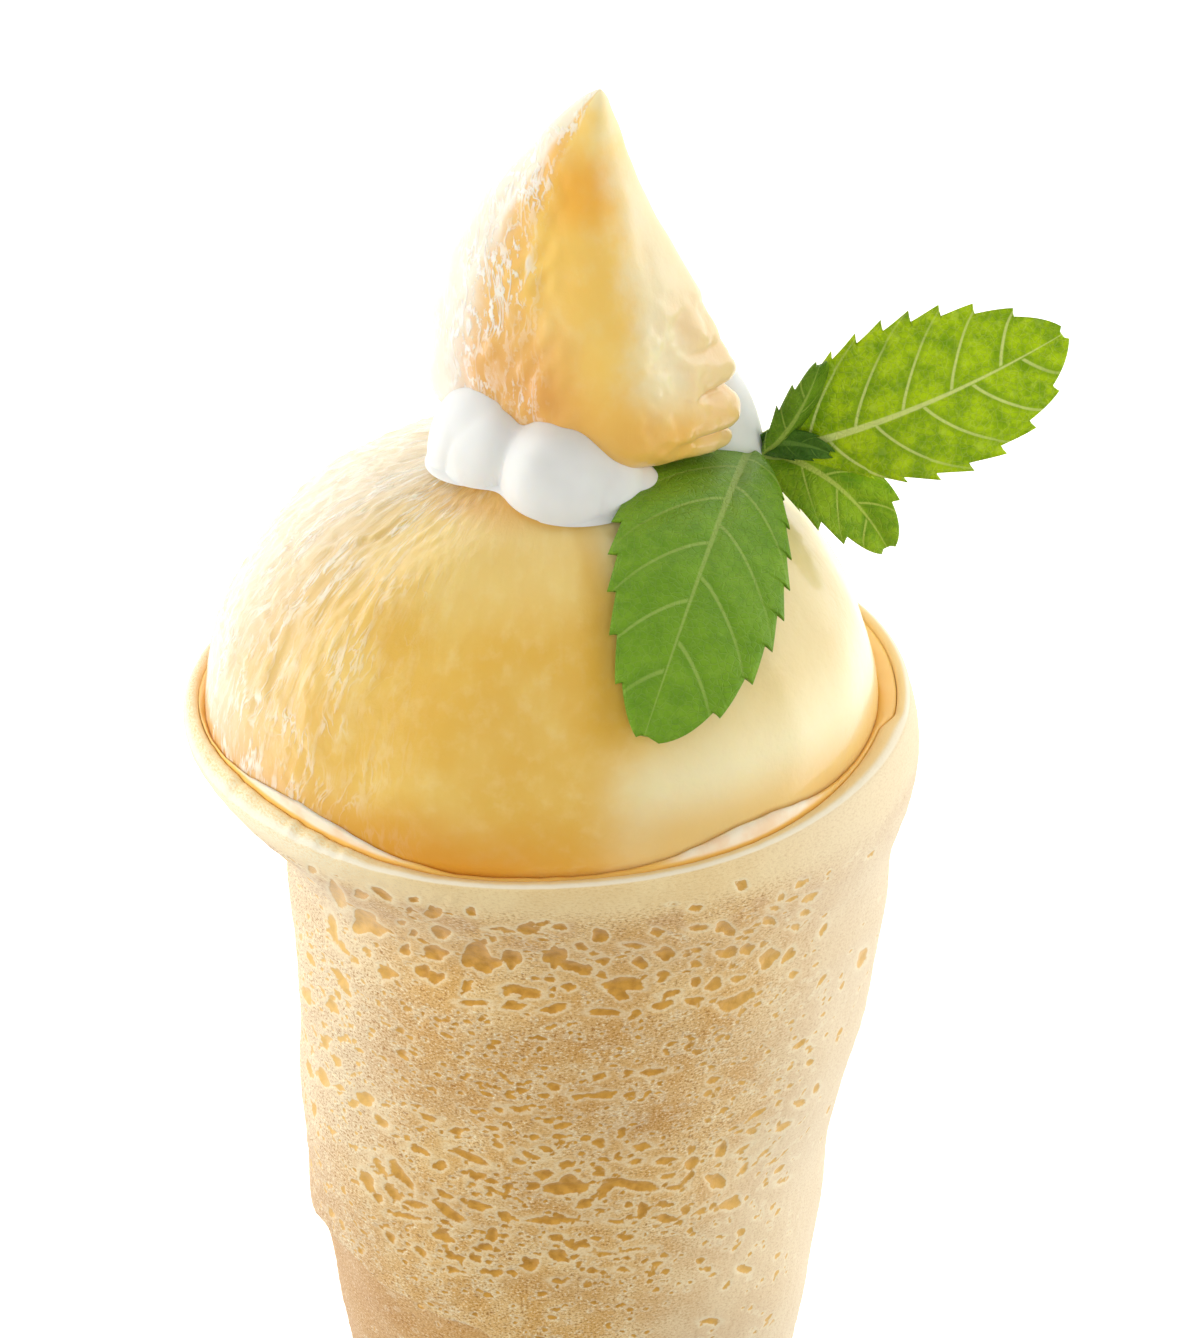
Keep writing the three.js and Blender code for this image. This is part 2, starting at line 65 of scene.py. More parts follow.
def lay_down(x, y, z):
    """Turns the cone's own frame about x until its axis rises 10 degrees, and moves it onto the table (m)."""
    x, y, z = np.broadcast_arrays(x, y, z)
    along = z * np.cos(LEAN) + y * np.sin(LEAN)
    height = z * np.sin(LEAN) - y * np.cos(LEAN)
    right, back, up = PEACH_PLACE
    return np.stack([right + x, back + along, up + height], axis=-1) / 1000


def pressed(y, z, lowest):
    """Moves a point up, towards -y, until it lies at least that far above the table."""
    height = PEACH_PLACE[2] + z * np.sin(LEAN) - y * np.cos(LEAN)
    return y - np.maximum(0, lowest - height) / np.cos(LEAN)


def section(depth):
    """Outer radius and sideways shift at a depth: cubic pieces whose slope at each knot is that between
    its two neighbours."""
    knots, values = SECTIONS[:, 0], SECTIONS[:, 1:]
    slopes = np.empty_like(values)
    slopes[1:-1] = (values[2:] - values[:-2]) / (knots[2:] - knots[:-2])[:, None]
    slopes[0] = (values[1] - values[0]) / (knots[1] - knots[0])
    slopes[-1] = (values[-1] - values[-2]) / (knots[-1] - knots[-2])
    at = np.clip(np.searchsorted(knots, depth, side="right") - 1, 0, len(knots) - 2)
    span = knots[at + 1] - knots[at]
    share = ((depth - knots[at]) / span)[..., None]
    span = span[..., None]
    rest = 1 - share
    through = (1 + 2 * share) * rest ** 2 * values[at] + share ** 2 * (3 - 2 * share) * values[at + 1]
    bent = share * rest ** 2 * span * slopes[at] - share ** 2 * rest * span * slopes[at + 1]
    curve = through + bent
    return curve[..., 0], curve[..., 1]


def lip_height(angle):
    """The lip's outer edge: a tilted ring, uneven by the product of a five-fold and a two-fold wave."""
    uneven = 0.16 * np.sin(5 * angle + 1) * np.sin(2 * angle)
    return LIP_LEVEL + LIP_TILT * np.cos(angle - LIP_HIGHEST) + uneven


def lip_curl(angle):
    """1 where the lip is turned out and down like a bell, on the left, and 0 elsewhere."""
    away = np.arccos(np.clip(np.cos(angle - CURL_MIDDLE), -1, 1))
    return 1 - ease(away, 0, CURL_REACH)


def inner_lip_height(angle):
    """The lip's inner edge stands above the outer one where the lip is turned out."""
    return lip_height(angle) + CURL_RISE * lip_curl(angle)


def border_height(angle):
    """The outer turn's lower border: one slanted loop round the cone, ragged by two fine waves."""
    ragged = 0.5 * np.sin(9 * angle) + 0.35 * np.sin(23 * angle + 2)
    return BORDER_MIDDLE + BORDER_SWAY * np.cos(angle - BORDER_HIGHEST) + ragged


def wall(angle, height):
    """The sheet's thickness, more where its inner end laps over itself and where the lip turns out."""
    past = (LAP_START - angle + 4 * np.pi) % (2 * np.pi)
    lap = ease(past, 0, LAP_FULL) * (1 - ease(past, LAP_FULL, LAP_END)) * ease(height, -14, -5)
    return SHEET + LAP_THICKER * lap + CURL_THICKER * lip_curl(angle) * ease(height, -6, 0)


def crepe_point(height, angle, inset):
    """A ring of the section table, uneven below the mouth, drawn in at the front of the lip, rounded off at
    the folded end, pulled in by inset and flattened where it lies on the table."""
    depth = np.clip(-height, MOUTH_DEPTH, TIP)
    radius, shift = section(depth)
    folded = np.clip((depth - TIP + FOLD_LENGTH) / FOLD_LENGTH, 0, 1)
    uneven = 0.35 * np.sin(3 * angle + depth / 19) + 0.2 * np.sin(5 * angle - depth / 11)
    drawn = 0.9 * np.sin(angle) * (1 - ease(depth, 2, 24))
    full = (radius + drawn + ease(depth, 12, 40) * uneven) * np.sqrt(1 - folded ** 2)
    reach = np.maximum(0, full - inset)
    y = pressed(reach * np.sin(angle), height, np.maximum(inset, 0))
    return shift + reach * np.cos(angle), y, height + 0 * angle


def waves(points, length, seed, count=14):
    """Smooth unevenness from -1 to 1: the sum of sine waves of about that length in random directions."""
    draw = np.random.default_rng(seed)
    directions = draw.normal(size=(count, 3))
    often = 2 * np.pi / length * draw.uniform(0.6, 1.5, count)
    directions *= (often / np.linalg.norm(directions, axis=1))[:, None]
    phases = draw.uniform(0, 2 * np.pi, count)
    return np.sin(points @ directions.T + phases).sum(axis=-1) / np.sqrt(count / 2) / 2


def skin(name, points, uv=None, marks=None, rows_close=False, start=None, end=None):
    """A mesh from a grid of points: its columns close round, its rows close into a ring, or end in a pole
    point at the start and at the end. uv is a grid with one more column than the points, marks are grids
    of numbers that become attributes."""
    rows, columns = points.shape[:2]
    index = np.arange(rows * columns).reshape(rows, columns)
    index = np.concatenate([index, index[:, :1]], axis=1)
    if rows_close:
        index = np.concatenate([index, index[:1]], axis=0)
    quads = np.stack([index[:-1, :-1], index[:-1, 1:], index[1:, 1:], index[1:, :-1]], axis=-1).reshape(-1, 4)
    vertices = points.reshape(-1, 3)
    triangles = np.zeros((0, 3), dtype=int)
    for pole, ring in ((start, index[0, ::-1]), (end, index[-1])):
        if pole is not None:
            tip = np.full(len(ring) - 1, len(vertices))
            vertices = np.concatenate([vertices, np.reshape(pole, (1, 3))])
            triangles = np.concatenate([triangles, np.stack([tip, ring[:-1], ring[1:]], axis=-1)])
    mesh = bpy.data.meshes.new(name)
    mesh.from_pydata(vertices.tolist(), [], quads.tolist() + triangles.tolist())
    mesh.polygons.foreach_set("use_smooth", np.ones(len(mesh.polygons), dtype=bool))
    if uv is not None:
        cells = np.stack([uv[:-1, :-1], uv[:-1, 1:], uv[1:, 1:], uv[1:, :-1]], axis=2).reshape(-1, 2)
        flat = uv[:, :-1].reshape(-1, 2)
        fans = flat[np.minimum(triangles.reshape(-1), len(flat) - 1)]
        layer = mesh.uv_layers.new(name="UVMap")
        layer.data.foreach_set("uv", np.concatenate([cells, fans]).reshape(-1))
    for label, grid in (marks or {}).items():
        values = np.zeros(len(vertices))
        values[:rows * columns] = grid.reshape(-1)
        mesh.attributes.new(label, "FLOAT", "POINT").data.foreach_set("value", values)
    mesh.validate()
    mesh.update()
    piece = bpy.data.objects.new(name, mesh)
    bpy.context.scene.collection.objects.link(piece)
    return piece


class Signal:
    """A number that varies over a surface: arithmetic on it adds the matching Math nodes."""

    def __init__(self, finish, socket):
        self.finish, self.socket = finish, socket

    def maths(self, operation, *others):
        """One Math node with these inputs in their order."""
        return self.finish.node("ShaderNodeMath", {"operation": operation}, dict(enumerate(others)))

    def __add__(self, other):
        return self.maths("ADD", self, other)

    def __sub__(self, other):
        return self.maths("SUBTRACT", self, other)

    def __rsub__(self, other):
        return self.maths("SUBTRACT", other, self)

    def __mul__(self, other):
        return self.maths("MULTIPLY", self, other)

    def __truediv__(self, other):
        return self.maths("DIVIDE", self, other)

    def __abs__(self):
        return self.maths("ABSOLUTE", self)

    def least(self, other):
        return self.maths("MINIMUM", self, other)

    def most(self, other):
        return self.maths("MAXIMUM", self, other)

    def share(self, start, end):
        """0 at start, 1 at end, smooth between. Either may be a signal."""
        return self.finish.node("ShaderNodeMapRange", {"interpolation_type": "SMOOTHSTEP"},
                                {"Value": self, "From Min": start, "From Max": end})

    __radd__ = __add__
    __rmul__ = __mul__


class Finish:
    """A procedural material: one Principled shader and the one way its other nodes are made."""

    def __init__(self, name, **constants):
        self.material = bpy.data.materials.new(name)
        self.material.use_nodes = True
        self.tree = self.material.node_tree
        self.shader = self.tree.nodes["Principled BSDF"]
        for key, value in constants.items():
            self.constant(key.replace("_", " ").title(), value)

    def constant(self, socket, value):
        """Sets one of the shader's own sockets, the same all over the surface."""
        self.shader.inputs[socket].default_value = value

    def vary(self, socket, value):
        """Feeds one of the shader's own sockets with what changes over the surface."""
        self.feed(self.shader.inputs[socket], value)

    def feed(self, socket, value):
        """Links a signal to a node's socket, or sets the socket to a value."""
        if isinstance(value, Signal):
            self.tree.links.new(value.socket, socket)
        else:
            socket.default_value = value

    def node(self, kind, settings=None, inputs=None, output=0):
        """Any node: its settings first, then its inputs, then the output that is read."""
        made = self.tree.nodes.new(kind)
        for key, value in (settings or {}).items():
            setattr(made, key, value)
        for key, value in (inputs or {}).items():
            self.feed(made.inputs[key], value)
        return Signal(self, made.outputs[output])

    def place(self, layer="Object"):
        """Object coordinates in metres, or the piece's own UV map."""
        return self.node("ShaderNodeTexCoord", output=layer)

    def way(self):
        """The UV map in mm, where it holds hundreds of mm along the surface."""
        return self.scaled(self.place("UV"), (100.0, 100.0, 0.0))

    def mark(self, label):
        """A number that the mesh carries at each point."""
        return self.node("ShaderNodeAttribute", {"attribute_name": label}, output="Fac")

    def scaled(self, vector, factors):
        """A vector times a factor on each axis."""
        return self.node("ShaderNodeVectorMath", {"operation": "MULTIPLY"}, {0: vector, 1: factors})

    def stirred(self, vector, size, amount):
        """The place moved about by coloured noise, so that cells and bands lose their straight edges."""
        swirl = self.node("ShaderNodeTexNoise", {}, {"Vector": vector, "Scale": size, "Detail": 2.0}, "Color")
        centred = self.node("ShaderNodeVectorMath", {"operation": "SUBTRACT"}, {0: swirl, 1: (0.5, 0.5, 0.5)})
        moved = self.node("ShaderNodeVectorMath", {"operation": "SCALE"}, {0: centred, "Scale": amount})
        return self.node("ShaderNodeVectorMath", {"operation": "ADD"}, {0: vector, 1: moved})

    def noise(self, vector, scale, detail=3.0, roughness=0.5):
        """Soft noise from 0 to 1, scale times as often as the vector's unit."""
        return self.node("ShaderNodeTexNoise", {},
                         {"Vector": vector, "Scale": scale, "Detail": detail, "Roughness": roughness}, "Fac")

    def parts(self, vector):
        """The three numbers of a vector."""
        split = self.node("ShaderNodeSeparateXYZ", {}, {0: vector})
        outputs = split.socket.node.outputs
        return [Signal(self, outputs[axis]) for axis in range(3)]

    def mix(self, amount, first, second):
        """The first colour where the amount is 0 and the second where it is 1."""
        return self.node("ShaderNodeMix", {"data_type": "RGBA"},
                         {0: amount, 6: colour(first), 7: colour(second)}, 2)

    def bump(self, height, distance, strength):
        """The surface's direction for a height given as a share of distance (m)."""
        return self.node("ShaderNodeBump", {}, {"Height": height, "Distance": distance, "Strength": strength})

    def cover(self, piece):
        """Gives a piece this material alone."""
        piece.data.materials.clear()
        piece.data.materials.append(self.material)


def colour(value):
    """A colour given as it shows (0 to 255) as the linear numbers of a shader: a straight piece for the
    darkest and a power of 2.4 above. Signals pass through."""
    if isinstance(value, Signal):
        return value
    given = np.array(value) / 255
    linear = np.where(given <= 0.04045, given / 12.92, ((given + 0.055) / 1.055) ** 2.4)
    return (*(float(part) for part in linear), 1.0)


def add_piece(piece, finish, node):
    """Covers a piece with its finish and puts it on the body in place of the node."""
    finish.cover(piece)
    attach(piece, "root")
    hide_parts(node)


SHOWN_SIDE = -np.pi / 2


def round_angles(columns, crowding):
    """Angles round the cone from behind the shown side to behind it again, so there is one more than the
    columns. A sine takes its crowding off the even steps, which brings them closer on the shown side."""
    share = np.linspace(-1, 1, columns + 1)
    turn = np.pi * (share - crowding * np.sin(np.pi * share) / np.pi)
    return turn + SHOWN_SIDE


def pits(across, down, centres, sizes, turns, seed):
    """How far inside a pit's edge each point lies (mm, negative outside). A pit is a turned ellipse whose
    radius is stirred by waves of two to five lobes. Overlapping pits join."""
    draw = np.random.default_rng(seed)
    inside = np.full(across.shape, -1.0)
    for (u, v), (width, height), turn in zip(centres, sizes, turns):
        phases = draw.uniform(0, 2 * np.pi, 4)
        strengths = draw.uniform(0.03, 0.17, 4) * (1, 1, 0.8, 0.6)
        span = 0.8 * max(width, height) + 0.8
        near = (np.abs(across - u) < span) & (np.abs(down - v) < span)
        du, dv = across[near] - u, down[near] - v
        p = (du * np.cos(turn) + dv * np.sin(turn)) * 2 / width
        q = (dv * np.cos(turn) - du * np.sin(turn)) * 2 / height
        bearing, far = np.arctan2(q, p), np.hypot(p, q)
        edge = 1 + sum(s * np.cos((k + 2) * bearing + f) for k, (s, f) in enumerate(zip(strengths, phases)))
        inside[near] = np.maximum(inside[near], (edge - far) * min(width, height) / 2)
    return inside


HALF_ROUND, FIRST_PIT, LAST_PIT, TRIES = 107, 2, 190, 9


def scattered_pits(count, seed, chance, height, stretch):
    """Random centres (mm round the crepe from its shown side, mm below the mouth) that the chance accepts.
    Heights are spread round the usual one by a lognormal, and widths are up to stretch times as much."""
    draw = np.random.default_rng(seed)
    u = draw.uniform(-HALF_ROUND, HALF_ROUND, count * TRIES)
    v = draw.uniform(FIRST_PIT, LAST_PIT, count * TRIES)
    kept = np.flatnonzero(draw.uniform(0, 1, count * TRIES) < chance(u, v))[:count]
    heights = height * draw.lognormal(0, 0.3, len(kept))
    widths = heights * draw.uniform(1.0, stretch, len(kept))
    return np.stack([u[kept], v[kept]], -1), np.stack([widths, heights], -1), draw.normal(0, 0.22, len(kept))


def smooth_side(u):
    """1 on the right, where the crepe lay smooth, and 0 elsewhere."""
    return ease(u, 26, 38) * (1 - ease(u, 70, 90))


def large_chance(u, v):
    """Large pits round the sides and the back: two belts, as on the shown side, and many on the left."""
    belts = ease(v, 6, 9) * (1 - ease(v, 19, 23)) + ease(v, 37, 42) * (1 - ease(v, 58, 64))
    left = ease(-u, 24, 30) * (1 - ease(-u, 55, 75)) * ease(v, 6, 12) * (1 - ease(v, 55, 64))
    return 0.5 * np.maximum(belts * ease(np.abs(u), 40, 48), left) * (1 - 0.9 * smooth_side(u))


def small_chance(u, v):
    """Small pits: densest between the belts and in the lower one, few on the smooth side, none at the lip."""
    dense = 0.35 + 0.65 * ease(v, 20, 24) * (1 - ease(v, 60, 72))
    return ease(v, 3.5, 8) * dense * (1 - 0.9 * smooth_side(u)) * (1 - ease(v, 95, 110))


EYE_RISE, EYE_FAR = np.radians(29), 500.0
EYE_RIGHT, EYE_UP = 6.8, 2.5


def seen(points):
    """Where points show for an eye that looks down at the mouth: mm right of and below the middle of the
    view, measured at the peach's distance, so what is nearer shows larger by its share of the way."""
    x, y, z = np.moveaxis(points, -1, 0)
    nearness = 1 - (z * np.sin(EYE_RISE) - y * np.cos(EYE_RISE)) / EYE_FAR
    up = z * np.cos(EYE_RISE) + y * np.sin(EYE_RISE)
    return (x - EYE_RIGHT) / nearness, (EYE_UP - up) / nearness


# The pits that show most, as seen: mm right and down from the middle of the view, width and height before
# PIT_SHRINK, and the turn in degrees of the width, right end down.
SHOWN_PITS = np.array([
    # the upper belt, left of the middle
    (-33.7, 23.5, 1.2, 0.8, 50), (-30.7, 26.4, 3.9, 1.3, 60), (-28.0, 26.4, 1.7, 1.1, 15),
    (-25.5, 26.3, 3.0, 0.9, 27), (-21.8, 27.0, 1.3, 0.7, 10), (-27.6, 29.6, 3.2, 2.8, 35),
    (-26.3, 30.3, 2.8, 1.6, 30), (-19.5, 28.5, 2.0, 1.6, 0), (-18.6, 30.8, 2.5, 1.5, 15),
    (-22.3, 28.2, 0.8, 0.7, 0), (-23.2, 29.7, 1.0, 0.7, 20), (-21.8, 30.9, 1.0, 0.9, 0),
    (-15.1, 28.4, 1.5, 1.0, 30), (-19.3, 33.2, 3.1, 1.7, 10), (-22.8, 32.9, 1.2, 1.5, 0),
    (-24.9, 35.5, 2.1, 1.5, 25), (-20.7, 35.4, 2.3, 1.4, 35), (-19.2, 36.1, 2.2, 1.4, -10),
    (-14.6, 33.4, 3.2, 3.2, 0), (-13.4, 34.4, 3.2, 2.6, 15), (-10.3, 33.9, 2.3, 2.4, 0),
    (-13.6, 31.9, 0.8, 0.7, 0), (-12.5, 31.6, 0.9, 0.8, 0), (-9.0, 37.7, 4.6, 1.4, 10),
    (-14.7, 39.0, 3.2, 0.8, 0), (-10.1, 39.4, 2.9, 1.1, 0), (-5.4, 39.8, 2.9, 1.1, -5),
    (-3.7, 37.2, 1.7, 1.0, 0), (-15.6, 37.1, 1.3, 1.3, 0), (-8.5, 30.4, 2.4, 1.5, -10),
    (-6.9, 29.9, 1.8, 0.6, -10), (-4.7, 30.2, 1.7, 0.9, 0), (-5.2, 33.7, 2.4, 3.0, 20),
    (-2.9, 34.9, 4.2, 1.5, 12), (-2.2, 32.5, 1.6, 0.9, 10), (-0.7, 33.3, 1.1, 0.6, 0),
    (-5.9, 36.3, 1.6, 0.7, 10), (-11.9, 30.4, 2.0, 0.4, 0), (-31.2, 30.3, 3.6, 1.0, 78),
    (-30.0, 32.6, 2.4, 0.7, 52), (-27.3, 32.9, 1.2, 0.7, 30),
    # the upper belt, right of the middle
    (0.0, 31.2, 2.0, 1.9, 20), (6.6, 30.8, 1.5, 1.1, 15), (11.5, 30.3, 2.3, 0.8, -5),
    (14.4, 30.2, 1.8, 1.6, 0), (15.2, 30.7, 1.3, 1.4, 30), (16.6, 25.3, 1.7, 1.2, 0),
    (11.2, 28.0, 1.5, 0.9, 0), (7.7, 33.3, 2.3, 1.6, 22), (4.0, 32.4, 2.5, 0.7, 5),
    (4.7, 34.4, 1.9, 1.4, 10), (0.4, 34.2, 1.5, 1.1, 0), (14.9, 33.2, 2.6, 1.4, -10),
    (17.2, 32.8, 2.0, 1.3, -35), (19.8, 33.9, 3.0, 1.9, -50), (22.1, 33.5, 2.3, 1.0, -55),
    (11.3, 32.9, 1.6, 0.6, 0), (11.2, 34.5, 1.5, 0.9, -8), (2.8, 36.9, 5.2, 1.7, 5),
    (2.2, 38.0, 2.4, 1.6, 15), (0.2, 35.8, 1.3, 0.9, 0), (-1.8, 35.2, 1.7, 1.5, 0),
    (7.4, 35.7, 1.8, 0.8, 0), (13.3, 36.9, 2.4, 1.3, -32), (11.2, 36.6, 1.5, 1.1, -10),
    (16.0, 36.3, 1.7, 0.8, 0), (8.4, 37.9, 2.0, 0.8, -5), (7.3, 39.3, 2.5, 1.1, -12),
    (11.0, 38.8, 2.4, 1.0, -5), (15.2, 39.2, 2.8, 1.7, -10), (17.0, 38.4, 2.4, 1.4, -20),
    (0.5, 40.2, 3.7, 1.0, 3), (4.3, 40.2, 1.2, 0.8, 0), (24.6, 26.7, 2.0, 0.8, -35),
    (23.4, 25.2, 1.3, 0.8, -50), (21.2, 26.7, 1.2, 0.8, -60), (19.8, 29.5, 1.7, 1.1, 10),
    (20.5, 28.0, 1.5, 0.6, -10), (17.4, 30.7, 1.4, 0.7, -10), (24.0, 28.5, 1.4, 0.8, -10),
    (22.9, 30.2, 1.2, 0.9, 0), (26.1, 30.5, 1.6, 0.7, -60), (22.7, 35.8, 1.3, 0.8, -30),
    (30.8, 33.8, 2.2, 1.0, -75),
    # between the belts
    (6.2, 47.2, 3.0, 0.8, -3), (13.3, 48.2, 1.5, 0.9, -15), (12.8, 49.7, 1.2, 0.8, 0),
    (-0.2, 47.6, 1.7, 0.8, -10), (0.7, 49.7, 2.1, 1.1, 5), (25.2, 49.0, 1.3, 0.7, -60),
    (23.2, 50.7, 1.5, 0.9, -20), (-5.4, 48.9, 1.7, 0.9, 0), (-2.6, 50.0, 1.5, 0.8, 0),
    # the lower belt, left of the middle
    (-20.1, 52.5, 2.2, 0.8, 25), (-25.7, 53.0, 2.1, 1.0, 50), (-16.8, 54.1, 1.8, 0.9, 0),
    (-21.1, 56.3, 2.3, 0.9, 25), (-18.7, 58.1, 1.7, 1.2, 0), (-15.2, 57.1, 4.7, 1.0, 24),
    (-23.3, 59.1, 4.7, 1.2, 48), (-27.1, 59.9, 3.4, 1.1, 62), (-25.7, 58.4, 2.6, 0.7, 52),
    (-24.2, 61.2, 2.9, 1.1, 40), (-21.6, 62.6, 3.2, 0.8, 12), (-22.8, 64.0, 3.3, 0.7, 12),
    (-17.6, 63.4, 4.9, 1.2, 33), (-14.2, 62.7, 2.8, 1.2, 14), (-18.1, 61.4, 2.1, 0.8, 28),
    (-11.1, 64.0, 1.8, 1.2, 35), (-14.7, 59.2, 1.8, 0.9, 35), (-12.3, 61.0, 4.2, 0.4, 22),
    (-6.6, 59.0, 2.6, 1.1, 0), (-3.9, 60.5, 4.8, 2.4, -5), (-3.9, 57.9, 2.0, 0.9, 5),
    (-11.8, 51.5, 1.2, 0.7, 20), (-9.6, 51.4, 2.3, 0.6, 8), (-6.0, 52.8, 1.4, 0.7, 0),
    (-12.5, 53.6, 1.6, 0.7, 5), (-7.7, 54.6, 1.2, 0.8, 0), (-4.7, 54.6, 1.2, 0.7, 0),
    (-11.8, 55.6, 1.3, 0.8, 30), (-6.3, 56.0, 1.6, 0.8, 15), (-8.1, 56.7, 2.5, 0.7, 20),
    (-9.7, 57.4, 1.4, 0.7, 25), (-1.9, 62.7, 1.8, 1.1, -10), (-5.6, 64.5, 5.8, 0.9, 2),
    (-5.1, 66.5, 2.2, 0.8, 5), (-2.0, 67.3, 1.7, 0.9, 10), (-4.9, 68.6, 2.8, 1.4, 25),
    (-18.5, 66.3, 2.5, 1.3, 38), (-12.6, 66.2, 1.7, 1.7, 0), (-11.2, 66.3, 1.2, 0.6, 10),
    (-8.2, 69.7, 2.3, 1.7, 5), (-14.6, 69.0, 1.5, 1.1, 20), (-17.4, 68.8, 1.4, 0.8, 15),
    (-17.3, 70.3, 1.6, 0.8, 15), (-12.2, 70.8, 1.6, 1.0, 15), (-13.5, 67.7, 1.9, 0.8, 12),
    (-4.9, 71.7, 1.8, 0.7, 5), (-21.1, 68.2, 2.0, 0.8, 40), (-24.6, 66.5, 1.8, 0.8, 55),
    # the lower belt, right of the middle
    (-0.2, 55.5, 1.7, 0.8, 5), (2.6, 54.3, 0.9, 1.5, 10), (4.9, 56.0, 2.6, 0.8, -8),
    (7.7, 57.6, 2.5, 0.9, -4), (10.8, 57.9, 2.0, 1.3, -25), (14.4, 56.4, 2.1, 1.2, -70),
    (13.7, 60.0, 2.4, 1.9, 20), (4.2, 57.7, 1.9, 0.6, -15), (-0.2, 58.5, 1.9, 0.6, 15),
    (2.2, 57.3, 1.3, 0.6, 8), (7.8, 59.4, 1.4, 0.6, 0), (3.9, 60.3, 6.2, 1.3, 5),
    (0.6, 60.9, 2.8, 1.2, -50), (8.7, 60.6, 2.4, 0.6, 0), (15.4, 62.6, 2.7, 1.5, -25),
    (17.0, 58.7, 1.6, 0.7, -40), (7.7, 64.2, 2.6, 1.1, 8), (4.9, 63.2, 1.3, 2.0, 15),
    (3.3, 62.6, 1.0, 0.9, 0), (9.9, 63.2, 1.1, 1.3, 0), (11.8, 63.4, 1.5, 0.8, -15),
    (3.3, 66.5, 1.6, 0.6, -5), (0.1, 63.4, 1.3, 0.6, 0), (1.8, 64.7, 2.0, 0.5, 8),
    (0.6, 68.4, 3.8, 0.4, 4), (3.8, 68.0, 3.4, 0.4, -8), (6.7, 69.7, 1.6, 0.6, -15),
    (16.8, 70.2, 1.8, 1.0, -8), (-0.9, 70.4, 1.5, 0.7, 3), (2.6, 70.3, 1.7, 0.6, 5),
    (12.8, 76.2, 2.1, 0.8, 0), (21.3, 53.5, 1.9, 0.8, -30), (17.9, 54.1, 1.4, 0.8, -20),
    (16.8, 56.3, 2.1, 0.5, -35), (19.3, 56.7, 1.8, 0.5, -40), (21.6, 60.0, 1.6, 0.5, -25)])

PIT_SHRINK, FAR_OFF = 0.94, 999
WRAP_COLUMNS, WRAP_ROWS, LIP_ROWS, INNER_ROWS = 416, 214, 7, 12
WRAP_RADIUS, LIP_DROP, LIP_ROUND = 34, 0.5, 0.75


def crepe_uv(around, down):
    """UV in hundreds of mm: the way round the crepe from its shown side, and down from the mouth."""
    down = np.concatenate([down, down[:, :1]], axis=1)
    return np.stack([np.broadcast_to(around, down.shape), down], -1) / 100


wrap_angles = round_angles(WRAP_COLUMNS, 0.5)
angle = wrap_angles[None, :-1]
low, high = lip_height(angle) - LIP_DROP, inner_lip_height(angle) - LIP_DROP
share = np.linspace(0, 1, WRAP_ROWS)[:, None]
outer_height = border_height(angle) + (low - border_height(angle)) * share
around = WRAP_RADIUS * (wrap_angles - SHOWN_SIDE)
u_grid, v_grid = np.broadcast_to(around[None, :-1], outer_height.shape), -outer_height

# the pits, cut out of the outside together with its dents
flat_wall = np.stack(crepe_point(outer_height, angle, 0), -1)
seen_right, seen_down = seen(flat_wall)
seen_right = np.where(np.sin(angle) < -0.1, seen_right, FAR_OFF)
shown = pits(seen_right, seen_down, SHOWN_PITS[:, :2], PIT_SHRINK * SHOWN_PITS[:, 2:4],
             np.radians(SHOWN_PITS[:, 4]), 20)
large = pits(u_grid, v_grid, *scattered_pits(290, 11, large_chance, 1.3, 2.2), 21)
small = pits(u_grid, v_grid, *scattered_pits(4800, 12, small_chance, 0.43, 2.2), 22)
hollow = np.maximum(np.maximum(shown, large), small)
dents = 0.28 * waves(flat_wall, 17, 31) * ease(v_grid, 12, 30) + 0.05 * waves(flat_wall, 1.7, 32)
pit_depth = 0.22 + 0.2 * ease(hollow, 0.2, 0.8)
sunk = pit_depth * ease(hollow, -0.08, 0.26) - dents
hem = LIP_ROUND * (1 - ease(share, 0, 0.008))
outside = np.stack(crepe_point(outer_height, angle, sunk + hem), -1)

# over the frayed lip and down the inside
turn = np.linspace(0, np.pi, LIP_ROWS + 2)[1:-1, None]
over = (1 - np.cos(turn)) / 2
frayed = 0.3 * waves(flat_wall[-1:], 1.5, 35, 24) * (0.12 + lip_curl(angle))
lip_rise = low + (high - low) * over + (LIP_ROUND + frayed) * np.sin(turn) ** 0.8
lip_face = np.stack(crepe_point(lip_rise, angle, wall(angle, inner_lip_height(angle)) * over), -1)
inner_share = np.linspace(0, 1, INNER_ROWS)[:, None] ** 2
inner_height = high + (border_height(angle) + 0.1 - inner_lip_height(angle)) * inner_share
inside_face = np.stack(crepe_point(inner_height, angle, wall(angle, inner_height)), -1)
wrap_grid = np.concatenate([outside, lip_face, inside_face])

# what the finish reads: how far inside a pit, how near a large one, and how far over the lip
unpitted = ((0, LIP_ROWS + INNER_ROWS), (0, 0))
marks_hollow = np.pad(hollow, unpitted, constant_values=-1.0)
marks_calm = np.pad(ease(np.maximum(shown, large), -0.9, -0.1), unpitted)
within = np.concatenate([np.zeros(WRAP_ROWS), np.linspace(0, 0.5, LIP_ROWS), np.linspace(0.6, 1, INNER_ROWS)])
within = np.repeat(within[:, None], WRAP_COLUMNS, axis=1)
beyond = np.arange(1, LIP_ROWS + INNER_ROWS + 2)[:, None]
wrap_uv = crepe_uv(around, np.concatenate([v_grid, v_grid[-1:] - 0.5 * beyond]))
crepe_wrap = skin("crepe_wrap", lay_down(*np.moveaxis(wrap_grid, -1, 0)), wrap_uv,
                  {"hollow": marks_hollow, "calm": marks_calm, "within": within}, rows_close=True)

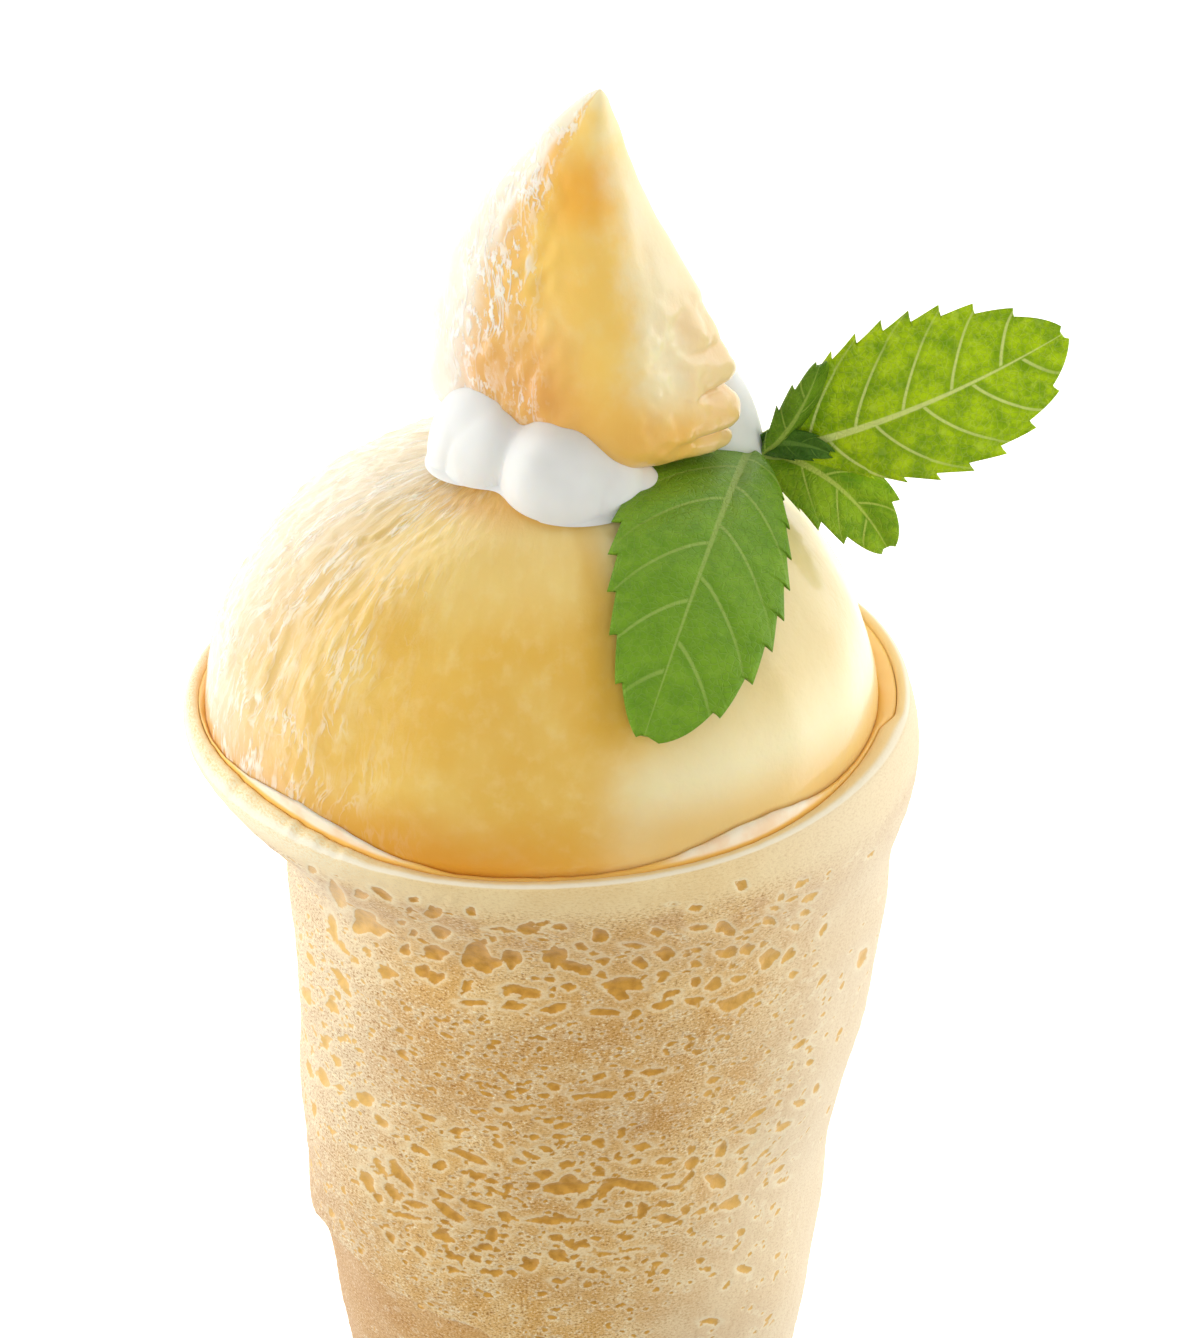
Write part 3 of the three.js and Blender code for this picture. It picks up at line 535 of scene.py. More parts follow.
WEB_PALE, WEB_WARM, WEB_TOAST = (241, 207, 145), (226, 178, 101), (199, 147, 82)
# WEB_LIT_WHITE is painted light: the web whitened at its edges as seen and where it is smooth
PORE, FLECK, WEB_LIT_WHITE = (176, 120, 48), (255, 246, 212), (238, 220, 186)
PIT_FLOOR, PIT_DEEP, PIT_SUNLIT, WEB_MAUVE = (220, 164, 68), (196, 140, 50), (246, 206, 122), (208, 162, 112)
# LIP_HIGHLIGHT is a painted highlight along the lip's top
LIP_PALE, LIP_HIGHLIGHT, LIP_GOLD = (252, 230, 176), (255, 246, 222), (250, 220, 156)


def pinholes(finish, stirred):
    """Fine pits in two sizes of cells: some of the cells, by their own random number, hold a pit whose edge
    lies where the way from the cell's middle reaches that number less the chance."""
    fine = None
    for size, chance in (((0.75, 1.2, 1.0), 0.4), ((1.5, 2.3, 1.0), 0.35)):
        cell = finish.node("ShaderNodeTexVoronoi", {"feature": "F1"},
                           {"Vector": finish.scaled(stirred, size), "Scale": 1.0}, "Distance")
        draw = finish.parts(Signal(finish, cell.socket.node.outputs["Color"]))[0]
        reach = (draw - chance) * 0.55
        pit = cell.share(reach, reach - 0.14)
        fine = pit if fine is None else fine.most(pit)
    return fine


def crepe_finish(name, tan):
    """Pale web full of fine pores, with golden floors in its pits. tan is how much browner the whole is.
    u is the way round from the shown side and v the way down from the mouth, in mm."""
    finish = Finish(name, roughness=0.62, sheen_weight=0.15, sheen_roughness=0.5)
    finish.constant("Specular IOR Level", 0.35)
    place = finish.way()
    u, v, _ = finish.parts(place)
    # where the sheet is smooth, busy with pores, at its edge as seen, or at the left end of that edge
    smooth = (u + 0.4 * (v - 42.0).most(0.0)).share(12.0, 32.0)
    calm = finish.mark("calm")
    busy = v.share(3.5, 7.5) * (1.0 - 0.85 * smooth) * (1.0 - 0.75 * calm)
    edge = abs(u).share(18.0, 42.0)
    lit_left_end = u.share(-16.0, -32.0) * v.share(60.0, 46.0)
    fine = pinholes(finish, finish.stirred(place, 1.3, 0.7)) * busy
    grain = finish.noise(finish.scaled(place, (1.0, 1.5, 1.0)), 2.6, 3.0, 0.7)
    # the pits' edges, made ragged
    ragged = finish.mark("hollow") + 0.3 * (finish.noise(place, 2.4, 3.0, 0.6) - 0.5)
    large = ragged.share(-0.06, 0.07)
    rim = ragged.share(-0.4, -0.08) * (1.0 - large)
    # the web: warm and pale clouds, toasted in patches and low on the left, browner between the belts at the
    # front middle as painted shade, and whitened at the edges as seen as painted light
    cloud = finish.noise(place, 0.16, 3.0)
    toast = finish.noise(finish.scaled(place, (0.6, 1.0, 1.0)), 0.075, 3.0).share(0.42, 0.72)
    web = finish.mix(cloud.share(0.38, 0.64).most(0.7 * calm), WEB_WARM, WEB_PALE)
    # painted shade: the web browner between the belts at the front middle
    between = v.share(19.0, 26.0) * v.share(46.0, 36.0) * abs(u + 2.0).share(32.0, 12.0)
    web = finish.mix((0.45 * toast + 0.25 * between) * (1.0 - 0.6 * smooth) + tan, web, WEB_TOAST)
    web = finish.mix((edge * 0.75).most(lit_left_end * 0.7) * (1.0 - tan), web, WEB_LIT_WHITE)
    left_low = u.share(-16.0, -40.0) * u.share(-100.0, -70.0) * v.share(50.0, 62.0)
    web = finish.mix(left_low * 0.6, web, WEB_TOAST)
    # under the lip: pale, with white flecks on the left, then painted mauve shadows; painted light whitens it
    # where it is smooth, on the right
    web = finish.mix((v + 7.0 * (cloud - 0.5)).share(8.5, 4.0) * 0.65, web, LIP_PALE)
    on_left = u.share(-8.0, -28.0)
    web = finish.mix(on_left * v.share(6.0, 2.0) * grain.share(0.4, 0.56), web, FLECK)
    mauve = finish.noise(place, 0.22, 4.0).share(0.5, 0.62) * v.share(4.5, 7.0) * v.share(14.0, 9.0)
    web = finish.mix(mauve * 0.45, web, WEB_MAUVE)
    web = finish.mix(smooth * 0.6 * (1.0 - tan), web, WEB_LIT_WHITE)
    # pores and the light flecks between them
    web = finish.mix(grain.share(0.5, 0.64) * (0.16 + 0.74 * busy), web, PORE)
    web = finish.mix(fine * 0.75, web, PORE)
    flecks = rim * 0.3 + grain.share(0.46, 0.34) * (0.15 + 0.55 * busy)
    web = finish.mix(flecks * (1.0 - 0.5 * tan), web, FLECK)
    # the pits' floors, lighter where the light comes through the edges
    floor = finish.mix(finish.noise(place, 0.9, 3.0).share(0.35, 0.7), PIT_FLOOR, PIT_DEEP)
    sunlit = (edge * 0.5).most(lit_left_end * 0.6).most(u.share(6.0, 28.0) * 0.5)
    floor = finish.mix(sunlit * (1.0 - tan), floor, PIT_SUNLIT)
    shade = finish.mix(large, web, floor)
    # over the lip: golden inside, flecked on the left, a pale line of painted highlight along the top
    within = finish.mark("within")
    on_lip = within.share(0.0, 0.05) * within.share(0.55, 0.2)
    shade = finish.mix(within.share(0.12, 0.24), shade, LIP_GOLD)
    shade = finish.mix(on_left * on_lip * grain.share(0.38, 0.6), shade, FLECK)
    shade = finish.mix(within.share(0.0, 0.06) * within.share(0.24, 0.12) * 0.8, shade, LIP_HIGHLIGHT)
    finish.vary("Base Color", shade)
    finish.vary("Roughness", 0.66 - 0.2 * large)
    height = large * -0.15 - 0.12 * fine - 0.25 * (grain - 0.5)
    finish.vary("Normal", finish.bump(height, 0.001, 0.36))
    return finish


add_piece(crepe_wrap, crepe_finish("crepe_baked_lacy", 0.0), "crepe")

# ---- the inner turns of the crepe ----
# The rest of the pancake, wound tighter and folded in at its lower end. It shows below the outer
# turn's border, where it is smoother and browner.
CONE_COLUMNS, CONE_ROWS = 300, 230
CONE_RADIUS, NARROWER, LAPPED, CAP_HEIGHT = 30, 1.3, 4, -90
SHIFT_BELOW = SECTIONS[-1, 2]


def turn_chance(u, v):
    """Pits of the inner turn: half of all tries below the outer turn's border, the same all round."""
    return 0.5 * ease(v, 62, 70)


cone_angles = round_angles(CONE_COLUMNS, 0.25)
angle = cone_angles[None, :-1]
share = np.linspace(0, 1, CONE_ROWS)[1:, None]
cone_height = -TIP + (border_height(angle) + LAPPED + TIP) * share ** 1.15
around = CONE_RADIUS * (cone_angles - SHOWN_SIDE)
u_grid, v_grid = np.broadcast_to(around[None, :-1], cone_height.shape), -cone_height
hollow = pits(u_grid, v_grid, *scattered_pits(1500, 14, turn_chance, 0.55, 2.0), 24)
flat_wall = np.stack(crepe_point(cone_height, angle, 0), -1)
sunk = 0.3 * ease(hollow, -0.04, 0.3) - 0.25 * waves(flat_wall, 14, 33) - 0.05 * waves(flat_wall, 1.7, 34)
inset = sunk * ease(share, 0, 0.05) + NARROWER * ease(share, 0, 0.4)
cone_grid = np.stack(crepe_point(cone_height, angle, inset), -1)
tip_point = lay_down(SHIFT_BELOW, pressed(0.0, -TIP, 0.0), -TIP)
crepe_cone = skin("crepe_cone", lay_down(*np.moveaxis(cone_grid, -1, 0)), crepe_uv(around, v_grid),
                  {"hollow": hollow}, start=tip_point, end=lay_down(SHIFT_BELOW, 0.0, CAP_HEIGHT))
add_piece(crepe_cone, crepe_finish("crepe_baked_inner", 0.5), "crepe")

# ---- the filling ----
# Soft cream that fills the crepe under the peach. Only a narrow pale ring of it shows, pressed up
# between the fruit and the lip.
PEACH_RADIUS, PEACH_TOP, PEACH_BASE = 39.3, 32.8, 16.5


def ball(radius, top, base, latitude, angle):
    """Rings of a ball that is flattened more above and below its widest ring."""
    half = np.where(latitude > 0, top, base)
    ring = radius * np.cos(latitude)
    return ring * np.cos(angle), ring * np.sin(angle), half * np.sin(latitude) + 0 * angle


FILLING_FOOT, CLEARANCE, BEAD_RISE = -166, 0.1, 1.5
# where the ring is pressed up, and half the width of that stretch, round the cone
BEADS = np.radians([(229, 17), (306, 14)])

angle = round_angles(160, 0.0)[None, :-1]
down = np.linspace(1, 0, 40)[:, None] ** 1.6
side = inner_lip_height(angle) - CLEARANCE + (FILLING_FOOT - inner_lip_height(angle)) * down
side_grid = np.stack(crepe_point(np.maximum(side, FILLING_FOOT + 1), angle, wall(angle, side) + 0.05), -1)
bead = sum(np.exp(-(np.arctan2(np.sin(angle - at), np.cos(angle - at)) / wide) ** 2) for at, wide in BEADS)
level = inner_lip_height(angle) - LIP_DROP + BEAD_RISE * bead
crest_latitude = np.arcsin(level / np.where(level > 0, PEACH_TOP, PEACH_BASE))
crest = np.stack(ball(PEACH_RADIUS - CLEARANCE, PEACH_TOP, PEACH_BASE + CLEARANCE, crest_latitude, angle), -1)
brim = side_grid[-1:]
across = np.array([0.2, 0.5, 0.8])[:, None, None]
between = brim * (1 - across) + crest * across
between[..., 2] += (0.2 + BEAD_RISE * bead + 0.12 * waves(brim, 4, 41)) * np.array([0.7, 1.0, 0.7])[:, None]
lower = np.linspace(0.05, 1, 20)[:, None]
cup_latitude = crest_latitude * (1 - lower) - np.radians(84) * lower
cup = np.stack(ball(PEACH_RADIUS + CLEARANCE, PEACH_TOP, PEACH_BASE + CLEARANCE, cup_latitude, angle), -1)
cup[..., 1] = pressed(cup[..., 1], cup[..., 2], SHEET + CLEARANCE)
filling_grid = np.concatenate([side_grid, between, crest, cup])
marks_bead = np.zeros(filling_grid.shape[:2])
marks_bead[len(side_grid):len(side_grid) + len(between)] = bead
cream_filling = skin("cream_filling", lay_down(*np.moveaxis(filling_grid, -1, 0)), marks={"bead": marks_bead},
                     start=lay_down(SHIFT_BELOW, 0.0, FILLING_FOOT),
                     end=lay_down(0.0, 0.0, -PEACH_BASE - CLEARANCE))
finish = Finish("cream_filling", roughness=0.4, subsurface_weight=0.15)
finish.constant("Subsurface Radius", (0.004, 0.002, 0.001))
cream = finish.mix(finish.noise(finish.place(), 350.0).share(0.35, 0.7), (252, 236, 208), (246, 216, 176))
amber_tint = finish.mix(finish.mark("bead").share(0.15, 0.5), (252, 202, 104), cream)
finish.vary("Base Color", amber_tint)
add_piece(cream_filling, finish, "filling")

# ---- the peach ----
# A whole yellow peach, scalded and peeled: wet, smooth and slightly clear flesh with fine creases
# left by the skin. It sits in the crepe's mouth.
PEACH_COLUMNS, PEACH_ROWS, UPWARD = 320, 240, 36
peach_angles = round_angles(PEACH_COLUMNS, 0.2)
angle = peach_angles[None, :-1]
latitude = np.linspace(-np.pi / 2, np.pi / 2, PEACH_ROWS + 1)[1:-1, None]
x, y, z = ball(PEACH_RADIUS, PEACH_TOP, PEACH_BASE, latitude, angle)
smooth_ball = np.stack([x, y, z], -1)
outward = smooth_ball / np.linalg.norm(smooth_ball, axis=-1, keepdims=True)
upright = np.broadcast_arrays(PEACH_RADIUS * np.cos(angle), PEACH_RADIUS * np.sin(angle), 0.22 * z)
crease_place = np.stack(upright, -1) + 2.2 * waves(smooth_ball, 11, 53)[..., None]
creased = ease(-np.cos(angle), 0.15, 0.9) * ease(latitude, -0.2, 0.1)
sunk_in = ease(latitude, -0.1, 0.3)
relief = 0.3 * waves(smooth_ball, 16, 51) + 0.19 * creased * waves(crease_place, 2.1, 52, 24)
relief = relief * sunk_in * (1 - 0.5 * ease(latitude, 1.3, 1.5)) - 0.25 * sunk_in
peach_grid = smooth_ball + outward * relief[..., None]
peach_grid[..., 1] = pressed(peach_grid[..., 1], peach_grid[..., 2], SHEET + 3 * CLEARANCE)
around = PEACH_RADIUS * (peach_angles - SHOWN_SIDE)
peach_uv = np.stack(np.broadcast_arrays(around, UPWARD * latitude), -1) / 100
whole_peach = skin("whole_peach", lay_down(*np.moveaxis(peach_grid, -1, 0)), peach_uv,
                   start=lay_down(0.0, 0.0, -PEACH_BASE), end=lay_down(0.0, 0.0, PEACH_TOP - CLEARANCE))


def wet_flesh(name, there, golden, clear, wrinkled, glint_shape):
    """Peeled flesh under a film of juice. there(finish) is the place in mm; golden and clear are its two
    colours, mixed in soft clouds; wrinkled(finish) is where fine creases run along the place's second axis
    and small glints of glint_shape lie. Gives back the finish, the flesh's colour, and its creases and
    glints, which the callers whiten as painted highlights."""
    finish = Finish(name, roughness=0.3, subsurface_weight=0.3, subsurface_scale=1.0, coat_weight=0.55,
                    coat_roughness=0.14)
    finish.constant("Specular IOR Level", 0.35)
    finish.constant("Subsurface Radius", (0.005, 0.0035, 0.0015))
    there, wrinkled = there(finish), wrinkled(finish)
    clouds = finish.noise(there, 0.085, 4.0, 0.55).share(0.38, 0.75)
    soft = finish.noise(there, 0.35, 4.0, 0.6)
    flesh = finish.mix(soft.share(0.45, 0.75) * 0.2, finish.mix(clouds, golden, clear), (255, 236, 178))
    patchy = finish.noise(there, 0.16, 3.0).share(0.42, 0.62)
    drawn = finish.scaled(finish.stirred(there, 0.1, 8.0), (1.0, 0.16, 1.0))
    line = abs(finish.noise(drawn, 0.42, 3.0, 0.6) - 0.5).share(0.045, 0.0)
    glint = finish.noise(finish.scaled(there, glint_shape), 1.3, 3.0, 0.6).share(0.52, 0.62)
    creases_and_glints = (line * (0.15 + 0.85 * patchy)).most(glint * (0.25 + 0.75 * patchy)) * wrinkled
    finish.vary("Roughness", 0.24 + 0.16 * soft)
    finish.vary("Normal", finish.bump(0.4 * creases_and_glints + 0.5 * soft, 0.0005, 0.6))
    return finish, flesh, creases_and_glints


def left_by_skin(finish):
    """1 on the peach's left, where the skin left creases, fading to 0 at the shown side and at the back."""
    way_round = finish.parts(finish.way())[0]
    return way_round.share(-10.0, -42.0) * way_round.share(-115.0, -80.0)


finish, flesh, creases_and_glints = wet_flesh("peach_peeled", Finish.way, (236, 190, 84), (242, 206, 112), left_by_skin,
                                  (0.7, 0.16, 1.0))
u, v, _ = finish.parts(finish.way())
cloud = 12.0 * (finish.noise(finish.place(), 70.0, 4.0, 0.6) - 0.5)
# pale shoulder; painted shade of the cream: an amber crown round it; painted shade of the front leaf: an
# amber stripe down the shown side
flesh = finish.mix(v.share(25.0, 35.0) * 0.5, flesh, (250, 226, 150))
flesh = finish.mix(v.share(39.0, 44.0) * 0.8, flesh, (232, 174, 78))
amber_tint = abs(u + 0.4 * cloud - 4.5 - 0.2 * v).share(4.6, 0.8) * v.share(8.0, 18.0)
flesh = finish.mix(amber_tint * 0.6, flesh, (226, 176, 50))
# painted light: a pale right side, paler low down, and a pale left side, near white at its far edge
flesh = finish.mix((u + cloud).share(7.0, 24.0) * 0.8, flesh, (232, 214, 160))
flesh = finish.mix((u + 0.5 * cloud).share(3.0, 15.0) * v.share(17.0, 9.0) * 0.8, flesh, (250, 236, 188))
flesh = finish.mix((u + cloud).share(-18.0, -54.0) * 0.85, flesh, (220, 192, 140))
flesh = finish.mix((u + cloud).share(-38.0, -58.0) * 0.5, flesh, (250, 240, 218))
# painted reflection of the crepe's lip: golden along it; and one even colour at the back, where the UV map
# closes
flesh = finish.mix((v + 0.3 * cloud).share(9.0, -1.0) * u.share(20.0, -12.0) * 0.9, flesh, (226, 156, 48))
flesh = finish.mix(v.share(9.0, 2.0) * u.share(6.0, 16.0) * 0.7, flesh, (233, 186, 92))
flesh = finish.mix(abs(u).share(75.0, 118.0), flesh, (240, 220, 168))
# painted highlights: the creases and glints whitened
finish.vary("Base Color", finish.mix(creases_and_glints * 0.7, flesh, (255, 250, 236)))
add_piece(whole_peach, finish, "peach")

# ---- the whipped cream ----
# A dollop spooned onto the peach and pressed out into soft lobes by the slice that stands in it.
CREAM_X, CREAM_CROWN, CREAM_TUCK = 5, 0.9, -0.4
# place of each lobe's middle in plan, its radius and its height over the peach
LOBES = ((-7.2, -1.4, 5.6, 7.8), (-5.2, -4.6, 5.4, 6.4), (2.4, -9.4, 6.7, 6.6), (7, -9.6, 4.8, 4.4),
         (10.6, -8.6, 3.6, 2.2), (19.6, 8, 6.6, 12), (6, 10, 9, 6), (-3, 7, 6.5, 5), (6, 0, 8, 5))


def cream_reach(angle):
    """Outline in plan: how far a ray from the middle runs inside each lobe's circle, as a tenth-power sum."""
    total = 0
    for x, y, radius, _ in LOBES:
        ahead = (x - CREAM_X) * np.cos(angle) + y * np.sin(angle)
        inside = radius ** 2 - (x - CREAM_X) ** 2 - y ** 2 + ahead ** 2
        total = total + np.maximum(0, ahead + np.sqrt(np.maximum(0, inside))) ** 10 * (inside > 0)
    return total ** 0.1


def cream_lift(x, y):
    """Height over the peach: each lobe is half of a flattened ball, joined as a sixth-power sum."""
    total = 0
    for lobe_x, lobe_y, radius, high in LOBES:
        off = ((x - lobe_x) ** 2 + (y - lobe_y) ** 2) / radius ** 2
        total = total + (high * np.sqrt(np.maximum(0, 1 - off))) ** 6
    return total ** (1 / 6)


def on_dome(x, y, lift):
    """Height of the peach's top at a place in plan, plus a lift."""
    return PEACH_TOP * np.sqrt(np.maximum(0, 1 - (x ** 2 + y ** 2) / PEACH_RADIUS ** 2)) + lift


angle = np.linspace(0, 2 * np.pi, 321)[None, :-1]
under = np.linspace(0, 0.9, 12)[1:, None]
over = np.linspace(0.02, np.pi / 2, 110)[:-1, None]
reach_share = np.concatenate([under, np.cos(over) ** 0.5])
x = CREAM_X + cream_reach(angle) * reach_share * np.cos(angle)
y = cream_reach(angle) * reach_share * np.sin(angle)
soft = 0.3 * waves(np.stack([x, y, 0 * x], -1), 7, 71) * np.clip(cream_lift(x, y) / 3, 0, 1)
lift = cream_lift(x, y) + soft + CREAM_CROWN * np.sqrt(np.maximum(0, 1 - reach_share ** 2))
lift[:len(under)] = CREAM_TUCK
crown = on_dome(CREAM_X, 0.0, cream_lift(CREAM_X, 0.0) + CREAM_CROWN)
cream_dollop = skin("cream_dollop", lay_down(x, y, on_dome(x, y, lift)),
                    start=lay_down(CREAM_X, 0.0, on_dome(CREAM_X, 0.0, CREAM_TUCK)),
                    end=lay_down(CREAM_X, 0.0, crown))
finish = Finish("whipped_cream", roughness=0.42, subsurface_weight=0.6)
finish.constant("Subsurface Radius", (0.006, 0.005, 0.004))
cloud = finish.noise(finish.place(), 90.0).share(0.4, 0.7)
finish.vary("Base Color", finish.mix(cloud, (240, 240, 235), (230, 230, 224)))
add_piece(cream_dollop, finish, "whipped_cream")

# ---- the peach slice ----
# A wedge cut from another peeled peach, standing on its round end: its outside is peeled and wrinkled,
# its two cuts are pale and clear, and their far edge is torn where the stone was.
SLICE_TIP, SLICE_FOOT, SLICE_FORWARD, SLICE_LENGTH = (6.8, -1.5, 75.4), (4.1, -4.5, 33.3), 3, 42
LEFT_REACH, RIGHT_REACH, BROADEST, BLUNT = 18.6, 13.2, 0.818, 0.6
# each side's facing in degrees and its distance from the middle, as a share of the slice's reach
SIDES = ((190, 0.97), (233, 0.4), (252, 0.4), (288, 0.66), (325, 0.88), (80, 0.6))
TEAR_FROM, TEAR_STEP, TEAR_DEPTH = 0.832, 0.093, 0.07


def slice_outline(angle):
    """Polar radius of a rounded six-sided polygon: the sixth-power sum of the sides' facings."""
    facings = (np.cos(angle - np.radians(normal)) / distance for normal, distance in SIDES)
    return sum(np.maximum(0, facing) ** 6 for facing in facings) ** (-1 / 6)


angle = np.linspace(0, 2 * np.pi, 241)[None, :-1]
down = np.linspace(1, 0, 221)[1:-1, None]
down = np.where(down < 0.5, down ** 1.5 / 0.5 ** 0.5, down)
left = LEFT_REACH * np.sin(np.pi / 2 * np.minimum(1, down / BROADEST) ** 0.9)
run = (down / (BROADEST - 0.04)) ** 1.46
right = RIGHT_REACH * run / (1 + run ** 5) ** (1 / 5)
end_round = np.sqrt(1 - np.clip((down - BROADEST) / (1 - BROADEST), 0, 1) ** 2.6)
beside = np.maximum(0, np.cos(angle - np.radians(5))) ** 24
notches = 2 * np.abs(np.cos(np.pi * (down - TEAR_FROM) / TEAR_STEP)) ** 0.6 - 1
torn = TEAR_DEPTH * beside * notches * ease(down, 0.66, 0.76) * (1 - 0.8 * ease(down, 0.93, 0.97))
half = (left + right) / 2 * end_round
blunt = BLUNT * np.sqrt(np.minimum(1, down / 0.03)) * end_round
reach = (half + blunt) * slice_outline(angle) * 0.95 * (1 + torn)
middle = SLICE_TIP[0] + (right - left) / 2
x = middle + reach * np.cos(angle)
y = SLICE_TIP[1] - SLICE_FORWARD * down + reach * np.sin(angle)
z = SLICE_TIP[2] - SLICE_LENGTH * down + 0 * angle
z = z - 0.9 * ease(down, 0.5, 1) * (PEACH_TOP - on_dome(x, y, 0))
slice_grid = np.stack([x, y, z], -1)
wrinkled = ease(np.cos(angle - np.radians(215)), 0.2, 0.9) * ease(down, 0.05, 0.3)
ragged = ease(np.cos(angle - np.radians(350)), 0.7, 0.95) * ease(down, 0.5, 0.62)
relief = (0.26 * waves(slice_grid, 9, 61) + 0.1 * waves(slice_grid, 4.5, 65, 20)
          + 0.17 * wrinkled * waves(slice_grid * np.array([1, 1, 0.6]), 2.2, 62, 24)
          + ragged * (0.26 * waves(slice_grid, 4.2, 63, 20) + 0.1 * waves(slice_grid, 1.8, 64, 20)))
slice_grid[..., 0] += relief * np.cos(angle) * ease(down, 0, 0.1)
slice_grid[..., 1] += relief * np.sin(angle) * ease(down, 0, 0.1)
peeled_slice = skin("peeled_slice", lay_down(*np.moveaxis(slice_grid, -1, 0)),
                    marks={"across": (x - middle) / (0.89 * half)},
                    start=lay_down(*SLICE_FOOT), end=lay_down(*SLICE_TIP))


def slice_place(finish):
    """Object coordinates in mm, drawn out a little along the slice."""
    return finish.scaled(finish.place(), (1000.0, 800.0, 1000.0))


def rind_side(finish):
    """1 on the slice's round outer side, 0 on its cuts."""
    return finish.mark("across").share(-0.1, -0.5)


finish, flesh, creases_and_glints = wet_flesh("slice_peeled", slice_place, (252, 207, 104), (255, 221, 132), rind_side,
                                  (1.0, 0.6, 1.0))
x, y, _ = finish.parts(finish.scaled(finish.place(), (1000.0, 1000.0, 1000.0)))
sway = finish.noise(finish.place(), 130.0, 4.0, 0.6) - 0.5
across = finish.mark("across") + 0.3 * sway
ridge = x + 9.0 * sway - 3.8 - (142.0 - y) * 0.15
# pale tip, an amber spot below it, and a rosier foot
flesh = finish.mix(y.share(139.0, 142.0) * 0.7, flesh, (250, 236, 200))
spot = abs(y - 131.0).share(6.0, 1.0) * abs(x - 2.0).share(5.0, 1.0)
flesh = finish.mix(spot * 0.6, flesh, (246, 172, 30))
flesh = finish.mix(y.share(124.0, 106.0) * across.share(0.4, -0.3) * 0.8, flesh, (224, 156, 84))
flesh = finish.mix(y.share(112.0, 102.0) * 0.6, flesh, (232, 172, 84))
# the far cut is paler, with a warm torn edge; the left turns pale where light comes through
flesh = finish.mix(ridge.share(-3.2, 3.0) * y.share(103.0, 110.0) * 0.85, flesh, (246, 234, 196))
flesh = finish.mix(ridge.share(3.0, 7.0) * y.share(122.0, 114.0) * 0.6, flesh, (240, 204, 146))
flesh = finish.mix((across - 0.004 * (y - 118.0)).share(-0.62, -0.94) * 0.9, flesh, (248, 238, 220))
flesh = finish.mix(across.share(-0.3, -0.45) * across.share(-0.9, -0.7) * 0.4, flesh, (234, 184, 112))
# painted highlights: the creases and glints whitened
finish.vary("Base Color", finish.mix(creases_and_glints * 0.85, flesh, (255, 252, 244)))
add_piece(peeled_slice, finish, "peach_slice")

# ---- the mint ----
# The end of a sprig: broad leaves with sawn edges and quilted blades between pale veins, a small leaf
# and a young folded one, on a short stem pushed into the cream.
NODE = np.array([24.2, 7, 28.2])
HALF_COLUMNS, ROWS_PER_TOOTH, LEAF_HALF_THICKNESS, OVER_PEACH = 14, 15, 0.3, 1


def leaf(name, base, bend, tip, across, sides, cup, teeth, cut, wave, finish):
    """Two faces of a grid carried along a midrib bent by three points. Each side's reach rises and falls by
    two powers of the share along the midrib and is cut into teeth that point to the tip; the blade is
    cupped by the square of the distance, waved by a sine and quilted between its veins. Its UV holds the
    share along the midrib and the distance from it (cm)."""
    rows = teeth * ROWS_PER_TOOTH
    s = np.linspace(0, 1, rows)[:, None]
    base, bend, tip, across = (np.array(value, dtype=float) for value in (base, bend, tip, across))
    centre = (1 - s) ** 2 * base + 2 * s * (1 - s) * bend + s ** 2 * tip
    forward = 2 * (1 - s) * (bend - base) + 2 * s * (tip - bend)
    forward /= np.linalg.norm(forward, axis=1, keepdims=True)
    normal = np.cross(forward, across)
    normal /= np.linalg.norm(normal, axis=1, keepdims=True)
    aside = np.cross(normal, forward)
    place = np.linspace(-1, 1, 2 * HALF_COLUMNS + 1)[None, :]
    off = np.abs(place)
    saw = (s * teeth) % 1.0
    reach = np.zeros((rows, 2))
    for which, (broad, at_base, at_tip) in enumerate(sides):
        broadest = at_base / (at_base + at_tip)
        smooth = broad * (s / broadest) ** at_base * ((1 - s) / (1 - broadest)) ** at_tip
        reach[:, which] = np.maximum(0.35, smooth * (1 - 0.6 * cut + cut * saw ** 1.3))[:, 0]
    out = place * np.where(place < 0, reach[:, :1], reach[:, 1:])
    cupped = cup * out ** 2 / sides[0][0] ** 2
    quilt = 0.22 * np.cos(2 * np.pi * (0.75 * s * teeth - 1.1 * off)) * off * (1 - off)
    groove = 0.25 * np.exp(-(out / 0.8) ** 2)
    lift = cupped + wave * place * np.sin(9 * s) + quilt - groove
    grid = (centre[:, None] + out[..., None] * aside[:, None] + lift[..., None] * normal[:, None]
            + (0.8 * saw * off ** 6)[..., None] * forward[:, None])
    # what would lie in the peach is moved out to just over it
    in_plan = (grid[..., :2] ** 2).sum(-1) / (PEACH_RADIUS + OVER_PEACH) ** 2
    size = np.sqrt(in_plan + (grid[..., 2] / (PEACH_TOP + OVER_PEACH)) ** 2)
    grid = grid / np.minimum(1, size)[..., None]
    thick = LEAF_HALF_THICKNESS * (1 - 0.6 * off ** 8)[..., None] * normal[:, None]
    both = np.concatenate([grid - thick, (grid + thick)[:, ::-1]], axis=1)
    uv_face = np.stack(np.broadcast_arrays(s, out / 10), -1)
    uv = np.concatenate([uv_face, uv_face[:, ::-1], uv_face[:, :1]], axis=1)
    piece = skin(name, lay_down(*np.moveaxis(both, -1, 0)), uv, start=lay_down(*base), end=lay_down(*tip))
    add_piece(piece, finish, "mint_sprig")


